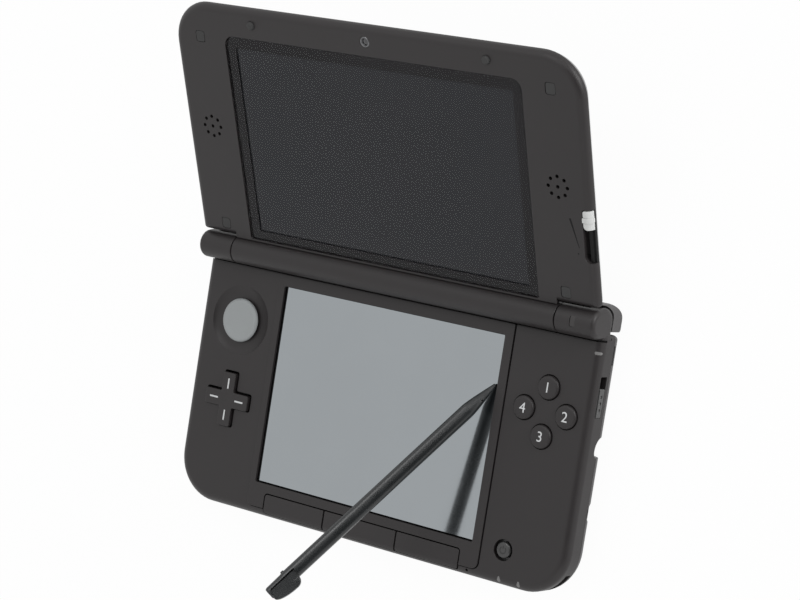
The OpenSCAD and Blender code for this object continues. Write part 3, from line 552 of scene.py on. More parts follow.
@dataclass(frozen=True)
class ClearSheet(Surface):
    """A thin clear sheet: it shows what lies under it and reflects a little."""

    gloss: float = 0.04
    smear: float = 3.0
    smear_scale: float = 60.0
    index: float = 1.11
    tint: Quad = (0.96, 0.965, 0.97, 1)

    def shader(self, tree: Tree) -> Socket:
        """A mirror over clear glass, shared out by the angle of view, on the sheet's front only."""
        coords = node(tree, "ShaderNodeTexCoord").outputs["Object"]
        cloud = node(tree, "ShaderNodeTexNoise", {"Scale": self.smear_scale, "Vector": coords}).outputs["Fac"]
        gloss = ranged(tree, cloud, self.gloss, self.gloss * self.smear, 0.0, 1.0)
        edge = node(tree, "ShaderNodeFresnel", {"IOR": self.index}).outputs[0]
        back = node(tree, "ShaderNodeNewGeometry").outputs["Backfacing"]
        clear = node(tree, "ShaderNodeBsdfTransparent", {"Color": self.tint}).outputs[0]
        shine = node(tree, "ShaderNodeBsdfGlossy", {"Roughness": gloss}).outputs[0]
        front = maths(tree, "SUBTRACT", edge, back, use_clamp=True)
        return node(tree, "ShaderNodeMixShader", {0: front, 1: clear, 2: shine}).outputs[0]


SHELL = Finish("shell_matt", (0.0178, 0.0153, 0.0157), rough=0.46, grain=0.004, grain_size=0.22, mottle=0.03,
               smudge=0.03, specks=0.12, specular=0.4)
# A lighter copy of the shell's plastic, painted light: the lower shell, shoulder buttons, flap and cover are
# coloured brighter to stand in for the light that falls on the console's sides
SHELL_SIDE_PAINTED_LIGHT = Finish("shell_side", (0.0560, 0.0530, 0.0535), rough=0.5, grain=0.006, grain_size=0.25, mottle=0.03,
                    smudge=0.03, specks=0.12, specular=0.5)
LID_BACK = Finish("lid_lacquer", (0.018, 0.017, 0.017), rough=0.16, smudge=0.05, mottle=0.04, specks=0.2, coat=0.6)
BORDER = Finish("window_border", (0.0098, 0.0086, 0.0090), rough=0.2, smudge=0.03, mottle=0.05, specular=0.22)
BLACK = Finish("moulded_black", (0.006, 0.006, 0.006), rough=0.6, grain=0.01, grain_size=0.4, specular=0.25)
KEYCAP = Finish("key_plastic", (0.0165, 0.0155, 0.0155), rough=0.42, grain=0.002, mottle=0.03, smudge=0.04,
                specks=0.1, specular=0.36)
PAD_GREY = Finish("pad_rubber", (0.280, 0.296, 0.300), rough=0.48, grain=0.01, grain_size=0.18, mottle=0.03)
PALE = Finish("pale_plastic", (0.27, 0.275, 0.274), rough=0.4, grain=0.004, mottle=0.04)
LEGEND = Finish("legend_ink", (0.57, 0.58, 0.585), rough=0.5, mottle=0.06)
DIM_INK = Finish("dim_ink", (0.006, 0.006, 0.006), rough=0.5, mottle=0.1)
DARK_INK = Finish("dark_ink", (0.004, 0.004, 0.004), rough=0.6, mottle=0.1, specular=0.2)
PIPE = Finish("light_pipe", (0.155, 0.152, 0.150), rough=0.3, mottle=0.05)
SMOKE = Finish("smoked_window", (0.0360, 0.0335, 0.0335), rough=0.25, mottle=0.05, specular=0.35)
RUBBER = Finish("soft_rubber", (0.0050, 0.0048, 0.0048), rough=0.7, grain=0.008, specular=0.24)
# Near-black strip at the lower screen's inner edge: painted shade, standing in for the shadow line under the
# surround's rim
PAINTED_SHADE_BLACK = Finish("gasket_foam", (0.0015, 0.0015, 0.0015), rough=0.9, mottle=0.2, specular=0.05)
PEN = Finish("pen_plastic", (0.0118, 0.0134, 0.0142), rough=0.3, grain=0.012, grain_size=0.3, mottle=0.08,
             smudge=0.04, specks=0.2, specular=0.55)
PICTURE_UP = Finish("display_upper", (0.0150, 0.0150, 0.0172), rough=0.2, mottle=0.03, smudge=0.02, specular=0.3)
PICTURE_LOW = Finish("touch_film", (0.312, 0.334, 0.348), rough=0.07, mottle=0.012, smudge=0.02, metal=1.0)
STEEL = Finish("screw_steel", (0.36, 0.36, 0.37), rough=0.32, metal=1.0, grain=0.004)
BOARD = Finish("circuit_board", (0.012, 0.05, 0.03), rough=0.4, grain=0.02, grain_size=1.2)
SILICONE = Finish("silicone_mat", (0.02, 0.022, 0.024), rough=0.6, grain=0.01)
CELL = Finish("battery_sleeve", (0.03, 0.032, 0.036), rough=0.45, mottle=0.1)
LENS = Finish("lens_glass", (0.004, 0.004, 0.006), rough=0.06, smudge=0.02, coat=1.0)
METAL_RING = Finish("lens_ring", (0.16, 0.16, 0.165), rough=0.35, metal=0.8)
GLASS = ClearSheet("window_acrylic")


# Making pieces

# Rounding of sharp edges: how many steps, and from which angle on
SOFT_STEPS = 3
SOFT_ANGLE = math.radians(35)
# How strongly large faces keep their normals
FLATNESS = 60


def smoothed(obj: bpy.types.Object, crease: float, soft: float) -> None:
    """Softens an object's edges and shades it smoothly, as a plain mesh without modifiers.

    Args:
        obj: The object.
        crease: Edges sharper than this many degrees stay sharp.
        soft: Width of a small rounding on sharp edges, in millimetres, or 0.
    """
    work = bmesh.new()
    work.from_mesh(obj.data)
    bmesh.ops.triangulate(work, faces=[f for f in work.faces if len(f.verts) > MANY_SIDED])
    bmesh.ops.remove_doubles(work, verts=work.verts, dist=MERGE)
    bmesh.ops.dissolve_degenerate(work, edges=work.edges, dist=MERGE)
    work.to_mesh(obj.data)
    work.free()
    if soft:
        bevel = obj.modifiers.new("soft", "BEVEL")
        bevel.width, bevel.segments = soft * MM, SOFT_STEPS
        bevel.limit_method, bevel.angle_limit = "ANGLE", SOFT_ANGLE
        settle(obj)
    obj.data.shade_smooth()
    obj.data.set_sharp_from_angle(angle=math.radians(crease))
    weigh = obj.modifiers.new("weigh", "WEIGHTED_NORMAL")
    weigh.keep_sharp, weigh.weight = True, FLATNESS
    settle(obj)


def settle(obj: bpy.types.Object) -> None:
    """Makes an object's modifiers part of its mesh."""
    made, old = evaluated(obj), obj.data
    obj.modifiers.clear()
    obj.data = made
    made.name = obj.name
    bpy.data.meshes.remove(old)


def piece(name: str, shape: Shape, finish: Surface, body: str, slot: str, replaces: Sequence[str] = (),
          crease: float = 33.0, soft: float = 0.0) -> bpy.types.Object:
    """Turns a solid into a finished piece of the console.

    Args:
        name: The piece's name.
        shape: Its solid, in the rest position.
        finish: Its surface.
        body: The moving body that it rides on.
        slot: A material slot of the record; not used.
        replaces: The CAD nodes that it stands for.
        crease: Edges sharper than this many degrees stay sharp.
        soft: Width of a small rounding on sharp edges, in millimetres, or 0.

    Returns:
        The object.
    """
    obj = linked(name, shape.mesh(name))
    smoothed(obj, crease, soft)
    obj.data.materials.clear()
    obj.data.materials.append(finish.material())
    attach(obj, body)
    if replaces:
        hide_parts(*replaces)
    log.info("%s: %d faces, on %s", name, len(obj.data.polygons), body)
    return obj


# The console's pieces

@dataclass(frozen=True)
class Console:
    """Main planes of the console, shared by its sub-assemblies."""

    half_w: float = 78.0
    front: float = -46.5
    slab_back: float = 36.6
    back: float = 46.5
    face: float = 12.5
    face_back: float = 34.31
    surround: float = 12.8
    seam: float = 5.0
    ceiling: float = 10.6
    wall: float = 1.7
    corner: float = 15.0
    back_corner: float = 1.5
    rim: float = 3.0
    belly: float = 5.0
    shelf_top: float = 9.6
    shelf: float = 7.3
    shelf_back: float = 42.6
    housing_x: float = 45.4
    block_x: float = 73.4
    knuckle_x: float = 64.0
    hinge_y: float = 39.6
    hinge_z: float = 15.08
    barrel_r: float = 4.63
    tilt: float = math.radians(24.65)
    lid_face: float = 1.08
    lid_back: float = -6.92
    lid_part: float = -1.82
    lid_heel: float = 5.25
    lid_far: float = 86.1
    far_row: float = 81.12
    screen: Quad = (-44.3, 43.45, -35.5, 30.43)
    surround_x: float = 46.6
    keys_x: float = 39.4
    keys_front: float = -45.2
    keys_back: float = -38.7
    fit: float = 0.25
    slit: float = 0.18

    def slab(self, grow: float = 0.0) -> Outline:
        """The base's outline seen from above, without its hinge."""
        w, c = self.half_w + grow, self.corner + grow
        b = max(self.back_corner + grow, 0.3)
        return Outline.box(-w, w, self.front - grow, self.slab_back + grow, c, c, b, b, steps=14)

    def form(self, top: float) -> Shape:
        """The base's full form up to a given face."""
        return prism(self.slab(), rounded(0, top, self.belly, self.rim, 10))

    def to_lid(self, points: np.ndarray) -> np.ndarray:
        """A place on the lid: X, distance from the hinge axis, and height over the axis along the face's normal."""
        c, s = math.cos(self.tilt), math.sin(self.tilt)
        x, v, n = points.T
        return np.column_stack([x, self.hinge_y + v * c - n * s, self.hinge_z + v * s + n * c])


PLAN = Console()


@dataclass(frozen=True)
class Cluster:
    """Centres of the thumb controls, and their reach."""

    pad: Point = (-60.9, 16.01)
    dish: float = 11.75
    dish_floor: float = 8.2
    dish_depth: float = 1.2
    neck_hole: float = 5.2
    cross: Point = (-60.9, -10.75)
    reach: float = 9.05
    arm: float = 5.2
    cross_gap: float = 0.45
    cross_outer: float = 0.8
    cross_inner: float = 0.5
    cross_shift: Point = (-0.3, -0.3)
    buttons: Point = (62.0, 9.71)
    spread: float = 7.7
    button: float = 3.76
    button_gap: float = 0.27
    power: Point = (54.94, -35.4)
    power_r: float = 2.6
    power_gap: float = 0.8

    def cross_outline(self, grow: float = 0.0) -> Outline:
        """The direction pad's cross, each side moved outwards."""
        r, a = self.reach + grow, self.arm / 2 + grow
        corners = ((-a, -r), (a, -r), (a, -a), (r, -a), (r, a), (a, a),
                   (a, r), (-a, r), (-a, a), (-r, a), (-r, -a), (-a, -a))
        radii = tuple(self.cross_inner if i % 3 == 2 else self.cross_outer for i in range(len(corners)))
        return Outline(corners, radii, 5)

    def button_at(self, turn: int) -> Point:
        """Where a round button stands; turn counts quarter turns clockwise from the back."""
        a = math.pi / 2 * turn
        return self.buttons[0] + self.spread * math.sin(a), self.buttons[1] + self.spread * math.cos(a)


THUMBS = Cluster()


@dataclass
class BaseShells:
    """The two halves of the base's housing."""

    flare: float = 0.08
    bosses: tuple[Point, ...] = ((58, 28.8), (64, -36))
    cover_boss: Point = (48, 26)
    boss_r: float = 3.0
    bore: float = 0.95
    head: float = 1.8
    screen_room: Point = (1.8, 1.7)
    recess_front: float = -43.95
    recess_room: Point = (0.01, 0.42)
    bay: Quad = (-34.5, 34.5, -40, -3)
    drops: Point = (54.9, 62.2)
    seam_gap: float = 0.07
    seam_round: float = 0.12
    shoulder_foot: float = 36.1
    end_slope: float = 34.96
    cavity_back: float = 34.0
    mic: Triple = (42.8, -44.7, 0.45)
    card: Quad = (-42.2, -8.6, 2.3, 6.7)
    port: Quad = (9.7, 19.1, 2.9, 6.3)
    infra: Quad = (26.9, 37.9, 2.9, 7.1)
    jack: Triple = (-52.0, 6.2, 2.95)
    door: Triple = (5.5, 27.0, 4.0)
    door_z: float = 5.9
    mouth: Point = (-1.75, 4.85)
    stylus_top: float = 6.3
    strap_z: Point = (5.3, 7.9)
    strap_angles: Point = (-30.0, -62.5)
    wireless: Point = (10.9, 23.7)
    volume: Point = (22.0, 33.0)
    slot_z: Point = (6.25, 9.75)
    cover: Quad = (-70.0, 70.0, -41.0, 31.0)

    def build(self) -> None:
        """Makes both shells and the parts that lie in their walls."""
        piece("top_shell", self.top(), SHELL, "base", "shell_top", ["base_top_shell"])
        # The lower shell takes the lighter copy of the shell plastic: painted light on its sides
        piece("bottom_shell", self.bottom(), SHELL_SIDE_PAINTED_LIGHT, "base", "shell_top", ["base_bottom_shell"])
        self.pipes()

    def hinge_space(self, solid: Shape) -> Shape:
        """Takes away the room for the hinge, its end blocks and their shelf."""
        p = PLAN
        far, tall = p.back + OVER, 30.0
        solid = solid.minus(block(-p.half_w - OVER, p.half_w + OVER, p.face_back, far, p.shelf_top, tall),
                            block(-p.block_x, p.block_x, self.shoulder_foot, far, p.shelf - 0.4, tall))
        slope, low, high = self.end_slope, p.shelf - 0.2, p.face + OVER
        ramp = Outline(((slope, high), (slope + 0.1, low), (far, low), (far, high)), (0, 0, 0, 0), 1)
        end = prism(ramp, [(0, p.block_x - 0.1), (0, p.half_w + OVER)]).placed(along_x)
        return solid.minus(end, end.mirrored())

    def room(self) -> Shape:
        """The hollow inside both shells."""
        p = PLAN
        w, h = p.half_w - p.wall, p.housing_x - p.wall
        inner = Outline.box(-w, w, p.front + p.wall, self.cavity_back, 13.3, 13.3, 1, 1, steps=12)
        slab = prism(inner, rounded(p.wall, p.ceiling, 3.3, 2.3, 5))
        return slab.added(block(-h, h, p.slab_back - 7, p.back - p.wall, p.wall, p.shelf_top - 1.3))

    def rear(self, z0: float, z1: float, low: float, high: float) -> Shape:
        """The housing of the card slot and the sockets, behind the slab."""
        p = PLAN
        out = Outline.box(-p.housing_x, p.housing_x, p.slab_back - 6, p.back, 1, 1, 1.2, 1.2, steps=5)
        return prism(out, rounded(z0, z1, low, high, 5))

    def pair(self, at: Point, z0: float, z1: float) -> Shape:
        """Two screw bosses, right and left."""
        return rod(self.boss_r, z0, z1, 32).moved(*at).twice()

    def top(self) -> Shape:
        """The upper shell, with every opening in the face."""
        p = PLAN
        seam = p.seam + self.seam_gap
        low = [(-self.seam_round, seam), (0, seam + self.seam_round)]
        solid = prism(p.slab(), low + rounded(0, p.face, 0, p.rim, 12)[1:])
        shelf = prism(Outline.box(-p.block_x, p.block_x, p.face_back - 1, p.shelf_back, 0, 0, 0.6, 0.6, steps=3),
                      rounded(p.shelf, p.shelf_top, 0.3, 0.3, 3))
        rear = self.rear(seam, p.shelf_top, self.seam_round, 1.0)
        solid = self.hinge_space(solid).added(rear, shelf).minus(self.room())
        for at in self.bosses:
            solid = solid.added(self.pair(at, seam, p.ceiling + 0.5))
            solid = solid.minus(rod(self.bore, 4, 8.6, SMALL_CURVE).moved(*at).twice())
        return self.wall_cuts(solid.minus(*self.face_tools()))

    def face_tools(self) -> list[Shape]:
        """The punches for the face: screen, keys, surround, pads, buttons and small holes."""
        p, t = PLAN, THUMBS
        low = p.ceiling - OVER
        (x0, x1, y0, y1), (dx, dy), (left, right) = p.screen, self.screen_room, self.recess_room
        recess = Outline.box(-p.surround_x - left, p.surround_x + right, self.recess_front, p.face_back + 5,
                             2.5, 2.5, 0.5, 0.5)
        keys = Outline.box(-p.keys_x - p.fit, p.keys_x + p.fit, p.keys_front - p.slit, p.keys_back + p.fit, 0.9)
        bowl = [(t.dish_floor * k / 4, p.face - t.dish_depth) for k in range(5)]
        span = t.dish - t.dish_floor
        steep = 2 * math.atan2(t.dish_depth, span)
        bend = span / math.sin(steep)
        side = [(t.dish_floor + bend * math.sin(a), p.face - t.dish_depth + bend * (1 - math.cos(a)))
                for a in np.linspace(0, steep, 11)[1:]]
        rim = [(t.dish + 0.05, p.face + 0.02), (t.dish + 0.05, p.face + OVER)]
        tools = [
            block(x0 - dx, x1 + dx, y0 - dy, y1 + dy, low, p.face + OVER),
            prism(recess, flared(p.surround - 1.4, p.face, 0.05)),
            prism(keys, [(0, low - 2 * p.fit), (0, p.face + OVER)]),
            turned(bowl + side + rim, 96).moved(*t.pad),
            rod(t.neck_hole, low, p.face).moved(*t.pad),
            prism(t.cross_outline(t.cross_gap), flared(low, p.face, self.flare)).moved(*t.cross),
            punch(t.power_r + t.power_gap, low, p.face, 0.15).moved(*t.power),
            punch(self.mic[2], low, p.face, 0.08, 24).moved(*self.mic[:2]),
        ]
        one = punch(t.button + t.button_gap, low, p.face, self.flare)
        holes = [one.moved(*t.button_at(k)) for k in range(4)]
        return tools + [holes[0].plus(*holes[1:])]

    def wall_cuts(self, solid: Shape) -> Shape:
        """Openings in the walls: switches, sockets, slots and the strap's slot."""
        p = PLAN
        w = p.half_w
        for x0, x1, z0, z1 in (self.card, self.port, self.infra):
            solid = solid.minus(block(x0, x1, p.back - 5, p.back + OVER, z0, z1))
        x, z, r = self.jack
        solid = solid.minus(rod(r, p.front - OVER, p.front + 5).placed(along_y).moved(x, 0, z))
        y, length, high = self.door
        solid = solid.minus(block(-w - OVER, -w + 4, y - length / 2 - p.fit, y + length / 2 + p.fit,
                                  self.door_z - high / 2 - p.fit, self.door_z + high / 2 + p.fit))
        y0, y1 = self.mouth
        notch = Outline.box(y0, y1, -OVER, self.stylus_top, 0.2, 0.2, 4.2, 2.3)
        solid = solid.minus(prism(notch, [(0, w - 4.4), (0, w - 0.4), (0.35, w), (0.35, w + OVER)]).placed(along_x))
        z0, z1 = self.slot_z
        for (y0, y1), side in ((self.wireless, Side.RIGHT), (self.volume, Side.LEFT)):
            slot = plate(y0, y1, z0, z1, 0.35, w - 5, w + OVER).placed(along_x)
            solid = solid.minus(slot.on(side))
        return solid.minus(self.strap())

    def strap(self) -> Shape:
        """The strap's slot, which follows the front right corner."""
        p = PLAN
        far, near = (math.radians(a) for a in self.strap_angles)
        centre = (p.half_w - p.corner, p.front + p.corner)
        return extruded(band(centre, p.corner + OVER, p.corner - p.wall, near, far, 12), *self.strap_z)

    def bottom(self) -> Shape:
        """The lower shell, with the battery's bay and the cover's recess."""
        p = PLAN
        seam = p.seam - self.seam_gap
        top = [(0, seam - self.seam_round), (-self.seam_round, seam)]
        belly = [(g, z) for g, z in rounded(0, 1, p.belly, 0, 16)[:-1] if z < seam - 2 * self.seam_round]
        solid = prism(p.slab(), belly + top)
        solid = solid.added(self.rear(0, seam, 3.0, self.seam_round)).minus(self.room())
        screw = [(self.head, -1), (self.head, 2), (self.bore, 2), (self.bore, 6)]
        for at in self.bosses:
            solid = solid.added(self.pair(at, 1, seam)).minus(turned(screw, 32).moved(*at).twice())
        solid = solid.added(self.pair(self.cover_boss, 1, 4))
        solid = solid.minus(rod(self.bore, -1, 3, SMALL_CURVE).moved(*self.cover_boss).twice())
        x0, x1, y0, y1 = self.cover
        recess = prism(Outline.box(x0, x1, y0, y1, 8.0), [(0.15, -OVER), (0.15, 0), (0, 0.12), (0, 0.9)])
        solid = solid.minus(recess, block(*self.bay, -1, 2.4))
        w = p.half_w
        nick = Outline.box(p.front + 24.7, p.front + 30.6, 1.2, p.seam - 0.2, 0.3, 0.3, 2.6, 2.6)
        solid = solid.minus(prism(nick, [(0, w - 3.5), (0, w + OVER)]).placed(along_x),
                            block(w - 0.7, w + OVER, p.back - 19.2, p.back - 13.2, p.seam - 0.9, p.seam - 0.2))
        return self.wall_cuts(solid)

    def pipes(self) -> None:
        """Light pipes: two drops at the front, a bar over the right rim, one in the right knuckle."""
        p = PLAN
        rings = [hull_ring(((x, p.front + 1.55, 0.62), (x, p.front + 2.5, 0.3)), 32) for x in self.drops]
        drops = [extruded(ring, p.face - 2, p.face + 1) for ring in rings]
        bar = plate(p.half_w - 2.15, p.half_w - 0.3, 30.35, 31.3, 0.4, p.face - 2.5, p.face + 1)
        drops = drops[0].plus(drops[1], bar)
        skin = prism(p.slab(0.03), rounded(0, p.face + 0.03, p.belly, p.rim, 12))
        pane = Outline.box(p.half_w - 8.45, p.half_w - 6.75, p.hinge_y - 1.75, p.hinge_y + 1.55, 0.4)
        window = prism(pane, [(0, p.hinge_z + 3.85), (0, p.hinge_z + 6)])
        lens = rod(p.barrel_r + 0.02, p.knuckle_x, p.block_x).placed(along_x)
        lens = lens.moved(0, p.hinge_y, p.hinge_z)
        piece("light_pipes_clear", drops.common(skin), PIPE, "base", "clear_pipe", ["light_pipes"])
        piece("notice_window", window.moved(0.17, 0.06).common(lens), SMOKE, "base", "clear_pipe")


@dataclass
class LowerScreen:
    """The lower screen: its raised surround, its touch film and a near-black strip between them, which is painted
    shade.
    """

    thick: float = 1.39
    front: float = -43.7
    corner: float = 2.25
    edge: float = 0.12
    rim: float = 0.1
    film_z: float = 11.69
    film_t: float = 0.9
    # Widths of the near-black strip inside the screen's left, right, front and back edges, and its height: painted
    # shade along the screen's border
    shade_strip: Quad = (0.08, 0.3, 0.42, 0.2)
    shade_strip_h: float = 0.25

    def build(self) -> None:
        """Makes the surround, the film and the strip of painted shade."""
        p = PLAN
        out = Outline.box(-p.surround_x, p.surround_x, self.front, p.face_back, self.corner, self.corner, 0.4, 0.4)
        form = prism(out, rounded(p.surround - self.thick, p.surround, 0, self.edge, 6))
        form = form.common(p.form(p.surround))
        x0, x1, y0, y1 = p.screen
        hole = prism(Outline.box(x0, x1, y0, y1, 0.5), flared(0, p.surround, self.rim))
        keys = Outline.box(-p.keys_x - p.fit, p.keys_x + p.fit, -60, p.keys_back + p.fit, 0, 0, 1.2, 1.2)
        shape = form.minus(hole, prism(keys, flared(0, p.surround, 0.12)))
        piece("screen_frame", shape, SHELL, "base", "shell_top", ["screen_surround"], soft=0.06)
        film = prism(Outline.box(x0 - 1.4, x1 + 1.4, y0 - 1.3, y1 + 1.3, 0.6),
                     rounded(self.film_z - self.film_t, self.film_z, 0.05, 0.08, 2))
        piece("touch_film_sheet", film, PICTURE_LOW, "base", "screen_lower", ["touch_panel"])
        # A near-black ring on the film round the screen's edges: painted shade where the surround's rim shades the
        # film
        ring = prism(Outline.box(x0, x1, y0, y1, 0.5), [(-0.02, self.film_z), (-0.02, self.film_z + self.shade_strip_h)])
        left, right, front, back = self.shade_strip
        inner = plate(x0 + left, x1 - right, y0 + front, y1 - back, 0.4, 0, 20)
        piece("screen_gasket", ring.minus(inner), PAINTED_SHADE_BLACK, "base", "black_plastic")


@dataclass
class CirclePad:
    """The sliding pad for the left thumb."""

    radius: float = 7.3
    low: float = 11.9
    top: float = 13.35
    neck: float = 2.3
    plate_z: float = 9.5
    plate_r: float = 6.2
    dent: float = 0.42
    rim: tuple[Point, ...] = ((0, 0.9), (0.08, 0.62), (0.28, 0.34), (0.58, 0.14), (0.95, 0.03), (1.3, 0),
                              (1.65, 0.04), (2.3, 0.2), (3.2, 0.32), (4.6, 0.4))

    def build(self) -> None:
        """Makes the pad: a shallow dished cap with a soft rim, its neck and its sliding plate."""
        r, t = self.radius, self.top
        z, low = self.plate_z, self.low
        profile = [(self.plate_r, z), (self.plate_r, z + 0.6), (self.neck, z + 0.6), (self.neck, low),
                   (r - 0.5, low), (r - 0.15, low + 0.1), (r, low + 0.35)]
        profile += [(r - inwards, t - down) for inwards, down in self.rim] + [(0, t - self.dent)]
        cap = turned(profile, LARGE_CURVE).moved(*THUMBS.pad)
        piece("circle_pad_cap", cap, PAD_GREY, "pad_y", "pad_grey", ["circle_pad"], crease=40)


@dataclass
class DirectionPad:
    """The rocking cross, with a pale bar on each arm."""

    low: float = 9.8
    top: float = 13.4
    rim: float = 0.25
    bar: Point = (3.5, 0.56)
    bar_at: float = 5.35
    ball_z: float = 9.52
    ball_r: float = 1.15
    dimple: tuple[Point, ...] = ((0, -0.06), (1.2, -0.045), (2.4, -0.01), (2.8, 0.01), (2.8, 1))

    def build(self) -> None:
        """Makes the cross and its bars."""
        t = THUMBS
        cross = prism(t.cross_outline(), rounded(self.low, self.top, 0, self.rim, 5))
        dimple = turned([(r, self.top + h) for r, h in self.dimple])
        seat = [(self.ball_r * math.sin(a), self.ball_z - self.ball_r * math.cos(a))
                for a in np.linspace(0.05, 3.1, 20)]
        x, y = t.cross[0] + t.cross_shift[0], t.cross[1] + t.cross_shift[1]
        shape = cross.moved(x, y).minus(dimple.moved(x, y), turned(seat, 32).moved(*t.cross))
        piece("direction_cross", shape, SHELL, "dpad_y", "key_plastic", ["dpad"], crease=40)
        length, width = self.bar
        one = Outline.box(-width / 2, width / 2, self.bar_at - length / 2, self.bar_at + length / 2, 0.2, steps=3)
        flat = prism(one, [(0, self.top - 0.1), (0, self.top + 0.02)])
        bars = [flat.placed(self.turn(k)).moved(x, y) for k in range(4)]
        piece("direction_bars", bars[0].plus(*bars[1:]), LEGEND, "dpad_y", "pale_plastic")

    def turn(self, quarter: int) -> Place:
        """A place that turns a solid by quarter turns about its own centre."""
        matrix = np.array(Matrix.Rotation(math.pi / 2 * quarter, 3, "Z"))
        return lambda points: points @ matrix.T


@dataclass
class RoundButtons:
    """Four round buttons with plain numbers, and the power button."""

    top: float = 13.6
    flange_z: float = 9.75
    flange_t: float = 0.55
    soft: float = 0.7
    figure: float = 4.6
    ink: float = 0.02
    names: tuple[str, ...] = ("back", "right", "front", "left")
    power_top: float = 12.6
    mark_r: Point = (1.2, 0.95)
    mark_angles: Point = (125, 415)

    def build(self) -> None:
        """Makes the buttons."""
        t = THUMBS
        for turn, name in enumerate(self.names):
            place = t.button_at(turn)
            cap = self.cap(t.button, self.top, 1.1).moved(*place)
            body = f"{name}_button"
            piece(f"button_{name}_cap", cap, SHELL, body, "key_plastic", [f"button_{name}"], crease=40)
            piece(f"button_{name}_figure", self.number(str(turn + 1), place), LEGEND, body, "pale_plastic")
        cap = self.cap(t.power_r, self.power_top, 1.4).moved(*t.power)
        piece("power_cap", cap, KEYCAP, "power", "key_plastic", ["power_button"], crease=40)
        piece("power_mark", self.mark().moved(*t.power), DIM_INK, "power", "pale_plastic")

    def cap(self, r: float, top: float, brim: float) -> Shape:
        """A round cap with a soft rim, on its flange."""
        z, soft = self.flange_z, self.soft
        profile = [(r + brim, z), (r + brim, z + self.flange_t), (r, z + self.flange_t), (r, top - soft - 0.1)]
        profile += [(r - soft * (1 - math.cos(a)), top - soft - 0.1 + soft * math.sin(a))
                    for a in np.linspace(0.1, 1.3, 8)]
        profile += [(r - 0.85, top - 0.05), (r - 1.3, top - 0.02), (r - 1.9, top - 0.005), (0, top)]
        return turned(profile, 64)

    def number(self, figure: str, at: Point) -> Shape:
        """A plain number, printed on a cap."""
        curve = bpy.data.curves.new("figure", "FONT")
        curve.body, curve.size, curve.extrude = figure, self.figure, self.ink
        curve.align_x, curve.align_y, curve.resolution_u = "CENTER", "CENTER", 4
        mesh = evaluated(linked("figure", curve))
        shape = Shape.of(mesh)
        discard(curve, mesh)
        flat = shape.verts * MM
        mid = (flat.max(0) + flat.min(0)) / 2
        return Shape(flat - mid, shape.faces).moved(at[0], at[1], self.top)

    def mark(self) -> Shape:
        """The power button's mark: an open ring and a stroke."""
        z = self.power_top
        ring = band((0, 0), *self.mark_r, *(math.radians(a) for a in self.mark_angles), 40)
        arc = extruded(ring, z - 0.06, z + 0.01)
        return arc.plus(plate(-0.13, 0.13, 0.35, 1.45, 0.1, z - 0.06, z + 0.01, steps=2))


@dataclass
class FrontKeys:
    """The row of three keys in front of the lower screen."""

    low: float = 9.8
    rim: float = 0.14
    divide: float = 14.5
    corner: float = 0.9
    edge: float = 0.25
    inset: float = 0.12

    def build(self) -> None:
        """Makes the three keys, which follow the base's rounded rim."""
        p = PLAN
        x, d, g, c, e, inset = p.keys_x, self.divide, p.fit, self.corner, self.edge, self.inset
        rows = {"left": (-x, -d - g, (c, e, e, c)), "home": (-d, d, (e,) * 4), "right": (d + g, x, (e, c, c, e))}
        for name, (x0, x1, radii) in rows.items():
            out = Outline.box(x0 + inset, x1 - inset, p.keys_front, p.keys_back - inset, *radii, steps=5)
            shape = prism(out, [(0, self.low), (0, p.surround + OVER)]).common(p.form(p.surround))
            piece(f"key_{name}_cap", shape, SHELL, f"key_{name}", "shell_top", [f"{name}_key"], soft=self.rim)


